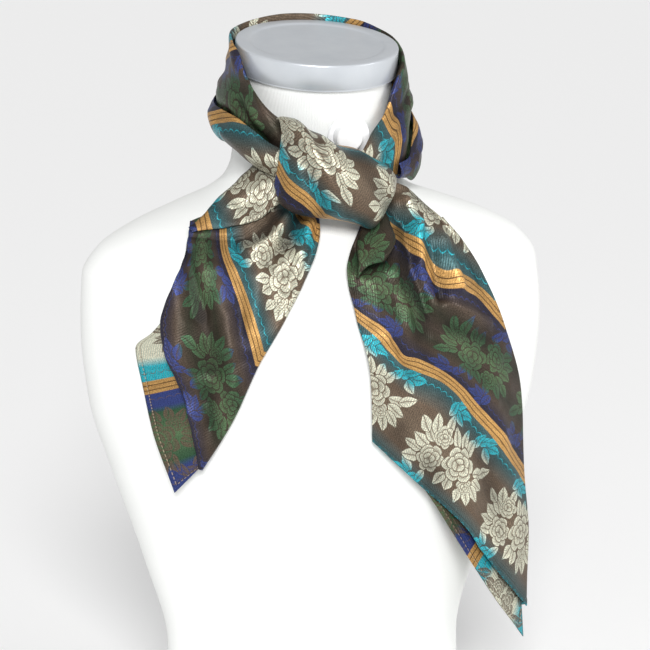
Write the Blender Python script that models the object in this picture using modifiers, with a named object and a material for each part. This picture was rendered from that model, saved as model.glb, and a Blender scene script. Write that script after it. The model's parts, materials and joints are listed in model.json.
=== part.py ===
"""A silk square tied round the neck of a dress form.

The form stands on its flat underside, its front faces -Y, and +Z is up. The scarf is one square of
silk folded cornerwise, laid round the neck and tied once in front. Each stretch of it that shows is
a wall of cloth of its own. Sizes in the tables are in millimetres, and bearings are in degrees round
the neck: 0 is the form's front, 90 its left side at +X, and 180 its back.
"""
import math

import bmesh
import bpy
import numpy as np
from mathutils import Matrix

MM = 0.001
CLOTH_WALL = 1.2          # the folded silk's wall
FOLD_TURN_STEPS = 3       # facets round a sharp fold
CAP_RADIUS = 58.0
CAP_BAND = 19.0
CAP_LEAN = 10.0           # degrees that the neck cap leans to the front
CAP_TOP = 500.0           # height of the middle of the cap's top
CAP_FORWARD = 6.0         # how far that middle lies in front of the form's centre
DIAL_HEIGHT = 440.0
DIAL_BEARING = 4.0
KNOB_RADIUS = 10.0
KNOB_LENGTH = 9.0
DIAL_BASE_RADIUS = 16.0
DIAL_BASE_LENGTH = 2.4
DIAL_LEAN = 6.0           # degrees that the dial's face looks down, as the neck leans there
DIAL_SEAT = 51.0          # how far the dial's seat lies in front of the centre

WHITE_KNIT = (0.86, 0.86, 0.84, 1.0)
SILVER = (0.52, 0.55, 0.58, 1.0)
WHITE_PLASTIC = (0.88, 0.88, 0.88, 1.0)
BROWN_SILK = (0.13, 0.095, 0.065, 1.0)
TEAL_SILK = (0.03, 0.16, 0.17, 1.0)
NAVY_SILK = (0.035, 0.035, 0.075, 1.0)


def table(columns, *rows):
    """Named columns from rows of numbers."""
    return dict(zip(columns.split(), np.array(rows, float).T))


# The form's level sections, from its underside up to the neck cap
FORM = table(
    "height half_width front back centre",
    (0, 112, 80, 74, 4),
    (60, 110, 79, 72, 4),
    (130, 128, 92, 80, 4),
    (200, 152, 104, 90, 2),
    (250, 167, 109, 96, 2),
    (300, 172, 109, 98, 2),
    (340, 170, 97, 96, 4),
    (358, 158, 88, 90, 6),
    (372, 134, 79, 85, 7),
    (384, 102, 71, 79, 8),
    (394, 75, 64, 71, 8),
    (404, 62, 59, 63, 8),
    (416, 57, 56.5, 58, 8),
    (440, 55, 55, 56, 5),
    (460, 54.5, 54.5, 55, 1.2),
)

# The smooth surface in front of the form that the tails lie on or hang from
DRAPE = table(
    "height half_width depth centre",
    (250, 172, 109, 2),
    (300, 172, 109, 2),
    (340, 171, 98, 4),
    (358, 160, 91, 6),
    (375, 142, 80.5, 7),
    (390, 120, 71, 8),
    (405, 98, 65, 8),
    (420, 76, 57, 8),
    (440, 70, 56, 6),
)

# The upper stretch round the neck. rim is its neckline fold, ridge the crease below it, low its
# lower edge behind the outer roll. Each has a radius from the neck's centre line and a height.
WRAP_UPPER = table(
    "bearing rim_r rim_z ridge_r ridge_z belly_r belly_z low_r low_z",
    (-14, 77.0, 431, 79.0, 427, 80.0, 421, 78.5, 413),
    (-25, 70.0, 440, 73.0, 433, 74.0, 426, 72.5, 417),
    (-33, 67.0, 448, 70.0, 438, 72.0, 431, 70.0, 422),
    (-42, 68.0, 455, 73.0, 441, 74.5, 435, 71.0, 426),
    (-55, 65.0, 467, 71.0, 447, 73.0, 441, 69.5, 431),
    (-68, 62.5, 480, 68.0, 462, 71.2, 450, 67.0, 439),
    (-84, 61.6, 498, 65.5, 479, 69.8, 461, 66.0, 444),
    (-108, 61.8, 505, 64.5, 482, 69.0, 462, 66.0, 446),
    (-135, 62.0, 509, 65.0, 491, 69.0, 468, 66.0, 449),
    (-180, 62.0, 514, 65.5, 496, 69.0, 471, 66.0, 450),
    (-225, 62.0, 510, 65.5, 493, 69.0, 468, 66.0, 448),
    (-252, 61.8, 502.5, 65.5, 486, 69.2, 462, 66.5, 443),
    (-272, 61.6, 496, 65.5, 481, 69.5, 457, 67.0, 438),
    (-290, 61.2, 491, 65.5, 478, 69.8, 452, 67.5, 430),
    (-304, 61.2, 484, 66.5, 470, 70.8, 444, 68.5, 422),
    (-314, 61.2, 472, 67.0, 458, 71.8, 435, 69.5, 415),
    (-325, 62.2, 453, 67.0, 443, 70.8, 427, 69.5, 413),
    (-338, 63.0, 440, 66.5, 433, 69.0, 424, 68.0, 414),
    (-350, 67.5, 427, 69.5, 424, 70.5, 420, 69.0, 413),
)

# The outer roll below it, from where it leaves the knot on one side to the other
WRAP_LOWER = table(
    "bearing top_r top_z crest_r crest_z belly_r belly_z foot_r foot_z",
    (-20, 83.0, 426, 85.0, 423, 86.0, 416, 82.5, 408),
    (-31, 77.5, 431, 80.5, 428, 83.5, 420, 80.0, 412),
    (-41, 76.5, 436, 80.0, 433, 82.5, 424, 78.0, 415),
    (-54, 75.5, 446, 79.0, 442, 82.0, 432, 77.0, 422),
    (-67, 74.0, 453, 77.0, 449, 80.0, 440, 74.0, 430),
    (-85, 72.0, 456, 74.5, 452, 76.5, 444, 70.0, 433),
    (-108, 71.2, 458, 73.0, 454, 73.8, 446, 67.0, 433),
    (-135, 71.2, 461, 73.2, 456, 74.0, 445, 67.0, 430),
    (-180, 71.2, 464, 73.6, 458, 75.0, 446, 68.0, 429),
    (-225, 71.2, 462, 74.0, 455, 76.0, 443, 69.0, 425),
    (-252, 71.4, 457, 75.0, 449, 77.5, 436, 71.0, 417),
    (-275, 71.8, 449, 76.0, 440, 78.8, 424, 72.0, 407),
    (-290, 72.2, 444, 76.5, 435, 79.0, 419, 72.0, 403.5),
    (-303, 73.0, 431, 76.0, 425, 78.0, 415, 72.0, 402.5),
    (-312, 73.6, 420, 75.0, 417, 75.6, 412, 73.0, 406),
    (-323, 73.2, 418, 74.2, 415, 74.6, 411, 72.5, 407.5),
)

# The knot's covering stretch, from its left edge to its right: its top edge, its foot, and the Y
# that its crown bulges to between them
KNOT = table(
    "top_x top_z top_y foot_x foot_z foot_y crown_y",
    (-48, 455, -58, -54, 411, -68, -72),
    (-45, 456, -60, -52, 399, -75, -85),
    (-38, 455, -64, -43, 392, -79, -95),
    (-30, 448, -68, -32, 389, -79, -101),
    (-21, 444, -72, -19, 387, -79, -104),
    (-11, 437, -74, -8, 385, -80, -104),
    (2, 434, -74, 2, 382, -82, -102),
    (15, 427, -72, 10, 379, -84, -98),
    (27, 420, -70, 20, 386, -81, -91),
    (35, 412, -64, 31, 401, -68, -74),
    (31, 410, -64, 28, 402, -67, -70),
)

# The left tail. Each row follows the cloth's stripes at a distance across them from the lower hem:
# down the front layer through its stations to the tail's right edge, where the cloth folds back on
# itself, and on to its other hem.
TAIL_LEFT = table(
    "across top_x top_z chest_x chest_z bend_x bend_z sway_x sway_z fold_x fold_z hem_x hem_z",
    (0, -105, 380, -117, 354, -133, 314, -119, 262, -111, 217, -128, 199),
    (40, -97, 383, -102, 362, -107, 318, -101, 282, -92, 252, -140, 241),
    (81, -84, 386, -89, 364, -86, 347, -80, 321, -73, 296, -145, 271),
    (112, -69, 389, -69, 371, -67, 354, -63, 336, -57, 320, -149, 299),
    (140, -53, 393, -52, 382, -50, 368, -46, 355, -42, 342, -139, 312),
    (170, -38, 396, -35, 391, -31, 386, -27, 381, -23, 375, -118, 338),
    (180, -36, 400, -32, 397, -28, 393, -24, 389, -21, 385, -105, 352),
)

# The right tail, in the same way, from its lower hem up to the knot
TAIL_RIGHT = table(
    "across top_x top_z chest_x chest_z bend_x bend_z sway_x sway_z fold_x fold_z hem_x hem_z",
    (0, 2, 234, 32, 204, 66, 172, 101, 128, 138, 88, 138.5, 63),
    (12, 2, 247, 31, 218, 63, 188, 100, 145, 138, 104, 122, 83),
    (38, 1, 276, 27, 250, 58, 222, 96, 182, 139, 138, 109, 99),
    (76, -8, 322, 23, 293, 54, 272, 91, 237, 133, 189, 84, 134),
    (120, -10, 348, 20, 333, 50, 309, 87, 281, 128, 251, 53, 181),
    (164, 12, 384, 32, 372, 57, 347, 83, 331, 107, 311, 27, 222),
    (190, 22, 400, 40, 389, 56, 379, 71, 369, 84, 361, 14, 262),
    (203, 24, 404, 36, 402.5, 46, 399, 57, 391, 72, 377, 9, 290),
)

# The flap over the top of the left tail, from the knot to its lower left corner. The first edge is
# its upper one, a fold that dips under the outer roll, and rise is how far each edge stands up off
# the tail.
FLAP = table(
    "first_x first_z first_rise second_x second_z second_rise",
    (-46, 423, -4, -36, 398, 0),
    (-53, 420, -4, -46, 393, 0),
    (-59, 414, -3, -62, 382, 0.6),
    (-71, 404, -1, -76, 378, 0.6),
    (-83, 394, 0, -87, 376, 0.3),
    (-94, 384, 0, -98, 375, 0),
    (-107, 376, 0, -106, 373.5, 0),
)

# The short gathered stretch at the top of the right tail, from the knot down to its end, which
# stands up off the tail and rolls under
GATHER = table(
    "first_x first_z first_rise second_x second_z second_rise",
    (11, 388, -0.7, 25, 391, 0),
    (8, 377, 0.5, 25, 385.5, 0.7),
    (3, 370, 1.5, 27, 379, 1.5),
    (-1, 362, 2.8, 28, 372, 2.8),
    (-3, 352, 4.2, 27, 365, 4.2),
    (-5, 345.5, 4.2, 24, 360.5, 4.2),
    (-5.5, 343.5, 2.8, 22, 358.5, 2.8),
    (-5, 344.5, 1.2, 21.5, 359.5, 1.2),
)

# Large folds: a soft ridge (height above 0) or trough along a line from one point to another
TAIL_LEFT_FOLDS = table(
    "from_x from_z to_x to_z height width",
    (-46, 386, -76, 369, -2.2, 5),
    (-47, 380, -68, 363, 2.4, 6),
    (-32, 382, -48, 352, -2.2, 5),
    (-25, 378, -30, 360, 1.2, 4),
    (-112, 350, -120, 290, 3.0, 13),
    (-96, 350, -106, 275, -2.0, 12),
    (-80, 340, -92, 270, 1.5, 12),
)
TAIL_RIGHT_FOLDS = table(
    "from_x from_z to_x to_z height width",
    (12, 394, 10, 366, -2.5, 9),
    (27, 392, 44, 335, -2.4, 8),
    (45, 392, 68, 335, 4.0, 10),
    (20, 330, 62, 300, -2.4, 11),
    (8, 345, 10, 285, 3.0, 10),
    (75, 330, 104, 235, 3.0, 16),
    (40, 260, 110, 150, 1.5, 22),
)
FLAP_FOLDS = table(
    "from_x from_z to_x to_z height width",
    (-50, 410, -95, 385, 1.6, 8),
    (-50, 400, -75, 384, -1.0, 5),
)
GATHER_FOLDS = table(
    "from_x from_z to_x to_z height width",
    (15, 378, 13, 358, 1.6, 6),
)
KNOT_FOLDS = table(
    "from_x from_z to_x to_z height width",
    (-44, 440, -24, 395, -2.2, 5),
    (-34, 436, -12, 392, 2.0, 6),
    (-4, 430, 20, 392, -2.0, 6),
)

# Each ring's section as stations of the tables above, each with a step inward and a rise: the
# neckline turns in behind its rim, and the outer roll's lower edge turns in towards the neck.
UPPER_PROFILE = (("rim", 2.0, -6.0), ("rim", 0, 0), ("ridge", 0, 0), ("belly", 0, 0), ("low", 0, 0))
LOWER_PROFILE = (("top", 0, 0), ("crest", 0, 0), ("belly", 0, 0), ("foot", 0, 0), ("foot", 3.0, 2.0))

# The soft folds round the back of the neck: bearings from the front, as in the tables above
WRAP_UPPER_FOLDS = table(
    "from_bearing from_z to_bearing to_z height width",
    (-110, 480, -200, 486, -1.6, 5),
    (-120, 470, -235, 466, 1.4, 5),
    (-215, 492, -290, 462, -1.4, 5),
    (-300, 462, -335, 420, -1.6, 5),
)
WRAP_LOWER_FOLDS = table(
    "from_bearing from_z to_bearing to_z height width",
    (-100, 441, -190, 446, -1.3, 4),
    (-170, 438, -260, 434, 1.2, 4),
    (-240, 446, -300, 416, -1.2, 4),
    (-50, 432, -80, 446, -1.0, 4),
)

UNDER_LIFT = 1.2          # how far the middle of a tail's hem layer lies off the drape surface
FRONT_LIFT = 5.5          # the same for its front layer, where no fold lifts or sinks it
LAYER_STEP = 1.8          # the least distance between the middles of two layers
FOLD_RADIUS = 2.1         # how round a tail's folded edge is
FOLD_SOFTNESS = 0.6       # how gently the hem layer takes up the front layer's ridges
ROLLED_EDGE = 3.0         # how wide the rolled edges of a lapped stretch are
EDGE_DROP = 0.9           # and how far they drop towards the form
RING_RADIUS = 70.0        # the neck wrap's own radius, for distances along it
KNOT_FULLNESS = 0.8       # below 1, the knot's edges turn more sharply than a circle's


def flow(at, knots, values):
    """A curve through the values that never swings past them: monotone cubic pieces."""
    at = np.clip(np.asarray(at, float), knots[0], knots[-1])
    steps = np.diff(knots)
    slopes = np.diff(values) / steps
    turns = np.zeros_like(values)
    turns[0], turns[-1] = slopes[0], slopes[-1]
    rising = slopes[:-1] * slopes[1:] > 0
    left = np.where(rising, slopes[:-1], 1.0)
    right = np.where(rising, slopes[1:], 1.0)
    first = 2 * steps[1:] + steps[:-1]
    second = steps[1:] + 2 * steps[:-1]
    turns[1:-1] = np.where(rising, (first + second) / (first / left + second / right), 0.0)
    piece = np.clip(np.searchsorted(knots, at, side="right") - 1, 0, len(steps) - 1)
    t = (at - knots[piece]) / steps[piece]
    return ((2 * t**3 - 3 * t**2 + 1) * values[piece]
            + (t**3 - 2 * t**2 + t) * steps[piece] * turns[piece]
            + (3 * t**2 - 2 * t**3) * values[piece + 1]
            + (t**3 - t**2) * steps[piece] * turns[piece + 1])


def neck_centre(height):
    """How far back the neck's centre line lies at a height: upright below, leaning above 440."""
    lean = math.tan(math.radians(CAP_LEAN))
    return np.minimum((CAP_TOP - height) * lean - CAP_FORWARD, 60 * lean - CAP_FORWARD)


def drape_depth(x, z):
    """The Y of the drape surface: an ellipse at each height, the same below the bust."""
    half = flow(z, DRAPE["height"], DRAPE["half_width"])
    depth = flow(z, DRAPE["height"], DRAPE["depth"])
    centre = flow(z, DRAPE["height"], DRAPE["centre"])
    return centre - depth * np.sqrt(np.clip(1 - (x / half) ** 2, 0.02, 1))


def on_drape(x, z, lift):
    """Points that stand off the drape surface by a lift along its normal."""
    nudge = 0.5
    slope_x = (drape_depth(x + nudge, z) - drape_depth(x - nudge, z)) / (2 * nudge)
    slope_z = (drape_depth(x, z + nudge) - drape_depth(x, z - nudge)) / (2 * nudge)
    normal = np.stack([slope_x, -np.ones_like(slope_x), slope_z], -1)
    normal /= np.linalg.norm(normal, axis=-1, keepdims=True)
    return np.stack([x, drape_depth(x, z), z], -1) + lift[..., None] * normal


def fold_height(folds, x, z):
    """The sum of the soft ridges and troughs at a place, each fading out past its two ends."""
    total = np.zeros_like(x)
    for i in range(len(folds["height"])):
        along = np.array([folds["to_x"][i] - folds["from_x"][i], folds["to_z"][i] - folds["from_z"][i]])
        length = np.hypot(*along)
        along /= length
        dx, dz = x - folds["from_x"][i], z - folds["from_z"][i]
        s = dx * along[0] + dz * along[1]
        past = np.maximum(np.maximum(-s, s - length), 0)
        away = np.hypot(dx * along[1] - dz * along[0], past)
        total += folds["height"][i] * np.exp(-(away / folds["width"][i]) ** 2)
    return total


def layer_lifts(folds, x, z):
    """The lifts of a tail's hem layer and front layer: ridges lift both, troughs sink the front."""
    fold = fold_height(folds, x, z)
    ridge = (fold + np.sqrt(fold**2 + FOLD_SOFTNESS**2)) / 2
    return UNDER_LIFT + ridge, np.maximum(FRONT_LIFT + fold, UNDER_LIFT + LAYER_STEP + ridge)


def stations(rows, names):
    """The named columns of a table, one beside the other."""
    return np.stack([rows[name] for name in names.split()], -1)


def spread(knots, count, columns):
    """Evenly spaced rows between a table's own, and where they lie between its knots."""
    at = np.linspace(knots[0], knots[-1], count)
    return at, np.stack([flow(at, knots, column) for column in columns.T], -1)


def along_rows(columns, count):
    """Each row's stations joined by a smooth curve with evenly spaced points."""
    at = np.linspace(0, columns.shape[1] - 1, count)
    knots = np.arange(columns.shape[1], dtype=float)
    return np.array([flow(at, knots, row) for row in columns])


def add_object(name, mesh, colour, roughness, metallic=0.0, matrix=None):
    """Put a finished mesh in the collection with its own material."""
    shape = bpy.data.objects.new(name, mesh)
    material = bpy.data.materials.new(name)
    material.use_nodes = True
    shader = material.node_tree.nodes["Principled BSDF"]
    shader.inputs["Base Color"].default_value = colour
    shader.inputs["Roughness"].default_value = roughness
    shader.inputs["Metallic"].default_value = metallic
    mesh.materials.append(material)
    mesh.shade_smooth()
    mesh.set_sharp_from_angle(angle=math.radians(50))
    if matrix is not None:
        shape.matrix_world = matrix
    collection.objects.link(shape)
    return shape


def grid_mesh(name, points):
    """A flat grid of cloth with each point moved to its place."""
    rows, columns = points.shape[:2]
    model = bmesh.new()
    bmesh.ops.create_grid(model, x_segments=columns - 1, y_segments=rows - 1, size=0.5)
    model.verts.ensure_lookup_table()
    for vertex, place in zip(model.verts, points.reshape(-1, 3)):
        vertex.co = place * MM
    mesh = bpy.data.meshes.new(name)
    model.to_mesh(mesh)
    model.free()
    return mesh


def cloth(name, points, colour):
    """A wall of cloth about the middle surface that the points give."""
    sheet = add_object(name, grid_mesh(name, points), colour, 0.45)
    wall = sheet.modifiers.new("cloth wall", "SOLIDIFY")
    wall.thickness = CLOTH_WALL * MM
    wall.offset = 0.0
    return sheet


def placed(offset):
    """The matrix of a step in millimetres."""
    return Matrix.Translation([value * MM for value in offset])


def turned(name, profile, matrix, colour, roughness, metallic=0.0, steps=40):
    """A turned piece: a profile of (radius, height) from its top, spun about an axis."""
    model = bmesh.new()
    corners = [model.verts.new((radius * MM, 0, height * MM)) for radius, height in profile]
    for first, second in zip(corners, corners[1:]):
        model.edges.new((first, second))
    mesh = bpy.data.meshes.new(name)
    model.to_mesh(mesh)
    model.free()
    piece = add_object(name, mesh, colour, roughness, metallic, matrix)
    spin = piece.modifiers.new("turn", "SCREW")
    spin.steps = spin.render_steps = steps
    spin.use_merge_vertices = True
    spin.merge_threshold = 0.00001
    return piece


def round_edge(radius, height, corner, down=1, steps=3):
    """Profile points of a rounded outer corner, from the flat side to the round side."""
    angles = np.linspace(0, math.pi / 2, steps + 1)
    return [(radius - corner + corner * math.sin(a), height - down * corner * (1 - math.cos(a)))
            for a in angles]


def form_body():
    """The bust and neck: level ellipses, blunter at the back, and a top that leans with the cap."""
    around = 44
    heights = np.concatenate([np.linspace(0, 340, 9), np.linspace(352, 416, 8), [428, 442, 460]])
    turn = np.linspace(0, 2 * math.pi, around, endpoint=False)
    size = {key: flow(heights, FORM["height"], FORM[key])[:, None] for key in FORM if key != "height"}
    depth = np.where(np.cos(turn)[None] > 0, size["front"], size["back"])
    x = size["half_width"] * np.sin(turn)
    y = size["centre"] - depth * np.cos(turn)
    z = np.broadcast_to(heights[:, None], x.shape)
    lean = math.radians(CAP_LEAN)
    drop = (CAP_BAND + 0.3) * np.array([-math.sin(lean), math.cos(lean)])
    radius = CAP_RADIUS - 3
    top_y = -CAP_FORWARD - drop[0] - radius * np.cos(turn) * math.cos(lean)
    top_z = CAP_TOP - drop[1] - radius * np.cos(turn) * math.sin(lean)
    rings = np.stack([x, y, z], -1)
    top = np.stack([radius * np.sin(turn), top_y, top_z], -1)
    rings = np.concatenate([rings, top[None]])
    model = bmesh.new()
    loops = [[model.verts.new(place * MM) for place in ring] for ring in rings]
    for lower, upper in zip(loops, loops[1:]):
        for i in range(around):
            j = (i + 1) % around
            model.faces.new((lower[i], lower[j], upper[j], upper[i]))
    model.faces.new(loops[-1])
    model.faces.new(loops[0][::-1])
    mesh = bpy.data.meshes.new("form_body")
    model.to_mesh(mesh)
    model.free()
    add_object("form_body", mesh, WHITE_KNIT, 0.9)


def form_cap():
    """The silver neck cap: a turned disc with a deep band, leaning to the front."""
    profile = [(0, 0)] + round_edge(CAP_RADIUS, 0, 1.5) + [(CAP_RADIUS - 0.4, -CAP_BAND), (0, -CAP_BAND)]
    leaning = placed((0, -CAP_FORWARD, CAP_TOP)) @ Matrix.Rotation(math.radians(CAP_LEAN), 4, "X")
    turned("form_cap", profile, leaning, SILVER, 0.35, 0.6)


def form_dial():
    """The neck's turning dial: a thin base disc and a round knob in front of it."""
    bearing = math.radians(DIAL_BEARING)
    outward = np.array([math.sin(bearing), -math.cos(bearing)])
    face = Matrix.Rotation(bearing, 4, "Z") @ Matrix.Rotation(math.radians(90 + DIAL_LEAN), 4, "X")
    base = [(0, DIAL_BASE_LENGTH)] + round_edge(DIAL_BASE_RADIUS, DIAL_BASE_LENGTH, 0.8)
    base += [(DIAL_BASE_RADIUS, 0), (0, 0)]
    seated = placed((outward[0] * DIAL_SEAT + 3, outward[1] * DIAL_SEAT, DIAL_HEIGHT - 2)) @ face
    turned("form_dial_base", base, seated, WHITE_PLASTIC, 0.4, steps=24)
    knob = [(0, KNOB_LENGTH)] + round_edge(KNOB_RADIUS, KNOB_LENGTH, 2.0)
    knob += [(KNOB_RADIUS - 0.5, 0), (0, 0)]
    on_base = placed((-3, 2, DIAL_BASE_LENGTH + 0.3))
    turned("form_dial_knob", knob, seated @ on_base, WHITE_PLASTIC, 0.35, steps=24)


def ring_fold_height(folds, bearing, height):
    """Soft folds round the neck, laid out flat with the bearing as a distance along the ring."""
    arc = math.radians(1) * RING_RADIUS
    flat = {"from_x": folds["from_bearing"] * arc, "to_x": folds["to_bearing"] * arc,
            "from_z": folds["from_z"], "to_z": folds["to_z"],
            "height": folds["height"], "width": folds["width"]}
    return fold_height(flat, bearing * arc, height)


def ring_points(rows, profile, folds, sections=10, around=52):
    """A stretch round the neck: a smooth profile of radius and height, carried round by bearing."""
    radius = np.stack([rows[name + "_r"] - inward for name, inward, rise in profile], -1)
    height = np.stack([rows[name + "_z"] + rise for name, inward, rise in profile], -1)
    at, radius = spread(-rows["bearing"], around, radius)
    at, height = spread(-rows["bearing"], around, height)
    radius, height = along_rows(radius, sections), along_rows(height, sections)
    radius += ring_fold_height(folds, -at[:, None] + 0 * height, height)
    bearing = np.radians(-at)[:, None]
    x = radius * np.sin(bearing)
    y = neck_centre(height) - radius * np.cos(bearing)
    return np.stack([x, y, height], -1)


def knot_points(across=13, along=28):
    """A bulging band: each section is an arc from its top edge over its crown to its foot."""
    rows = spread(np.arange(len(KNOT["top_x"]), dtype=float), along, stations(KNOT, " ".join(KNOT)))[1]
    row = {key: column[:, None] for key, column in zip(KNOT, rows.T)}
    turn = np.radians(np.linspace(-20, 200, across))[None]
    share = (1 - np.cos(turn)) / 2
    x = row["top_x"] + (row["foot_x"] - row["top_x"]) * share
    z = row["top_z"] + (row["foot_z"] - row["top_z"]) * share
    bulge = np.where(np.sin(turn) > 0, np.abs(np.sin(turn)) ** KNOT_FULLNESS, -0.35 * np.abs(np.sin(turn)))
    rim = row["top_y"] + (row["foot_y"] - row["top_y"]) * share
    y = rim + (row["crown_y"] - rim) * bulge
    y -= fold_height(KNOT_FOLDS, x, z) * np.clip(np.sin(turn), 0, 1)
    return np.stack([x, y, z], -1)


def tail_points(rows, folds, front=17, under=9, sections=31):
    """A tail: rows along the stripes, down the front layer, round the folded edge and to the hem."""
    across = rows["across"]
    x = along_rows(spread(across, sections, stations(rows, "top_x chest_x bend_x sway_x fold_x"))[1], front)
    z = along_rows(spread(across, sections, stations(rows, "top_z chest_z bend_z sway_z fold_z"))[1], front)
    hem = spread(across, sections, stations(rows, "hem_x hem_z"))[1]
    fold = np.stack([x[:, -1], z[:, -1]], -1)
    edge = np.gradient(fold, axis=0)
    edge /= np.linalg.norm(edge, axis=1, keepdims=True)
    out = np.stack([edge[:, 1], -edge[:, 0]], -1)
    out *= np.sign(np.sum(out * (fold - np.stack([x[:, -4], z[:, -4]], -1)), 1))[:, None]
    share = np.linspace(0, 1, front)
    inset = (FOLD_RADIUS * share**6)[None]
    x -= out[:, :1] * inset
    z -= out[:, 1:] * inset
    turn = np.radians(np.linspace(90, -90, FOLD_TURN_STEPS + 2))[1:-1]
    centre = fold - out * FOLD_RADIUS
    arc_x = centre[:, :1] + out[:, :1] * FOLD_RADIUS * np.cos(turn)
    arc_z = centre[:, 1:] + out[:, 1:] * FOLD_RADIUS * np.cos(turn)
    share = np.linspace(0, 1, under)[None]
    back_x = centre[:, :1] + (hem[:, :1] - centre[:, :1]) * share
    back_z = centre[:, 1:] + (hem[:, 1:] - centre[:, 1:]) * share
    front_lift = layer_lifts(folds, x, z)[1]
    back_lift = layer_lifts(folds, back_x, back_z)[0]
    first, last = front_lift[:, -1:], back_lift[:, :1]
    arc_lift = (first + last) / 2 + (first - last) / 2 * np.sin(turn)
    x = np.concatenate([x, arc_x, back_x], 1)
    z = np.concatenate([z, arc_z, back_z], 1)
    return on_drape(x, z, np.concatenate([front_lift, arc_lift, back_lift], 1))


def lapped_points(rows, folds, below, across=9, along=22):
    """A short stretch that lies on a tail's front layer, with both its edges rolled down a little."""
    knots = np.arange(len(rows["first_x"]), dtype=float)
    columns = stations(rows, "first_x first_z first_rise second_x second_z second_rise")
    places = spread(knots, along, columns)[1]
    share = np.linspace(0, 1, across)[None]
    x, z, rise = [first[:, None] + (second - first)[:, None] * share
                  for first, second in zip(places.T[:3], places.T[3:])]
    width = np.hypot(places[:, 3] - places[:, 0], places[:, 4] - places[:, 1])[:, None]
    edge = np.clip(1 - np.minimum(share, 1 - share) * width / ROLLED_EDGE, 0, 1)
    front = layer_lifts(below, x, z)[1]
    over = LAYER_STEP + EDGE_DROP * (1 - edge**2) + np.maximum(fold_height(folds, x, z), 0)
    return on_drape(x, z, front + over + rise)


def build():
    """Make every piece."""
    form_body()
    form_cap()
    form_dial()
    cloth("wrap_upper", ring_points(WRAP_UPPER, UPPER_PROFILE, WRAP_UPPER_FOLDS), BROWN_SILK)
    cloth("wrap_lower", ring_points(WRAP_LOWER, LOWER_PROFILE, WRAP_LOWER_FOLDS), NAVY_SILK)
    cloth("knot_band", knot_points(), TEAL_SILK)
    cloth("tail_left", tail_points(TAIL_LEFT, TAIL_LEFT_FOLDS), BROWN_SILK)
    cloth("tail_right", tail_points(TAIL_RIGHT, TAIL_RIGHT_FOLDS), BROWN_SILK)
    cloth("tail_left_flap", lapped_points(FLAP, FLAP_FOLDS, TAIL_LEFT_FOLDS), TEAL_SILK)
    cloth("tail_right_fold", lapped_points(GATHER, GATHER_FOLDS, TAIL_RIGHT_FOLDS), NAVY_SILK)


for leftover in list(bpy.data.objects):
    bpy.data.objects.remove(leftover, do_unlink=True)
collection = bpy.data.collections.new("silk_scarf")
bpy.context.scene.collection.children.link(collection)
build()
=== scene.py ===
# %% [markdown]
# # A jacquard silk square tied round a dress form's neck
#
# The real thing is one square of silk about 90 cm wide. It is folded cornerwise, laid round the neck of a
# white dress form, and tied once in front, so that two corners hang down as tails. The cloth has bands of
# flowers between narrow gold stripes, woven in, so the reverse shows the same drawing in other colours.
#
# This lesson builds the cloth as thin curved sheets worked out with numpy, and the cloth's drawing as a
# material made of nodes. The first cell loads the measured solids that every piece has to fit.

# %% Load the measured solids
import json
import math

import bpy
import numpy as np
from mathutils import Matrix, Vector

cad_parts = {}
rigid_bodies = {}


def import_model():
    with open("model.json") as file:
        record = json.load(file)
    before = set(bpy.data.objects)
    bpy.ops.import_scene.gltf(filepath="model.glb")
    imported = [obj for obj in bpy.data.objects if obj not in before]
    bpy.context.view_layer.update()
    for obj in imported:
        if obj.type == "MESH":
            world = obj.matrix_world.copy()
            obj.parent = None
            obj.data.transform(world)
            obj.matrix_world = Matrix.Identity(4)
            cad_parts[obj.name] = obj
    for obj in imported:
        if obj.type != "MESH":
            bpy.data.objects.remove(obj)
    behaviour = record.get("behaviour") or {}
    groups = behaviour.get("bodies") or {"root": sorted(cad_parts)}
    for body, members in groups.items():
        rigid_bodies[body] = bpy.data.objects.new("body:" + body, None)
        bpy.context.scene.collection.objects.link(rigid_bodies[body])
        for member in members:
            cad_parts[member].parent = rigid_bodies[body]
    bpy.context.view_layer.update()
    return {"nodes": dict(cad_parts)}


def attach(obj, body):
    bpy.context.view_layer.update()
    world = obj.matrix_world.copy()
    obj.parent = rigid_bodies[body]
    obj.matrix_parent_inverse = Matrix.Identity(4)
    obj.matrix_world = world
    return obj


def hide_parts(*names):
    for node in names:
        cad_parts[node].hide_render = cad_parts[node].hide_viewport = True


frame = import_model()
MM = 0.001
print("solids:", ", ".join(sorted(frame["nodes"])))

# %% [markdown]
# ## The camera
#
# The photograph was taken from a little to the form's right and from slightly above, with a long lens, so
# near and far parts look almost the same size. A camera is easiest to place by an angle round the object,
# an angle above the floor and a distance, and then to point at a target.

# %% The camera
AZIMUTH = -20.0           # degrees round the form, negative to its right side
ELEVATION = 12.0
DISTANCE = 2.2
TARGET = Vector((0.0082, 0.0, 0.29361))
LENS = 168.3              # millimetres, on a sensor 36 mm wide

a, e = math.radians(AZIMUTH), math.radians(ELEVATION)
backward = Vector((math.sin(a) * math.cos(e), -math.cos(a) * math.cos(e), math.sin(e)))
camera = bpy.data.objects.new("camera", bpy.data.cameras.new("camera"))
camera.location = TARGET + backward * DISTANCE
camera.rotation_euler = (-backward).to_track_quat("-Z", "Y").to_euler()
camera.data.lens = LENS
camera.data.sensor_width = 36.0
camera.data.clip_start = 0.05
bpy.context.scene.collection.objects.link(camera)
bpy.context.scene.camera = camera
print("camera at", [round(value, 3) for value in camera.location])

# %% [markdown]
# ## Tables of measured places
#
# The solids were drawn from a few tables: the form's level sections, the surface that the tails lie on, and
# rows of places along each stretch of cloth. The same numbers stand here, in millimetres, because a finer
# sheet has to lie exactly where its solid does. Two places differ by a few millimetres, so that the silk
# closes there as on the real scarf: the upper stretch's lower edge beside the knot, and the rises of the
# gathered stretch on the right tail.

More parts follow.
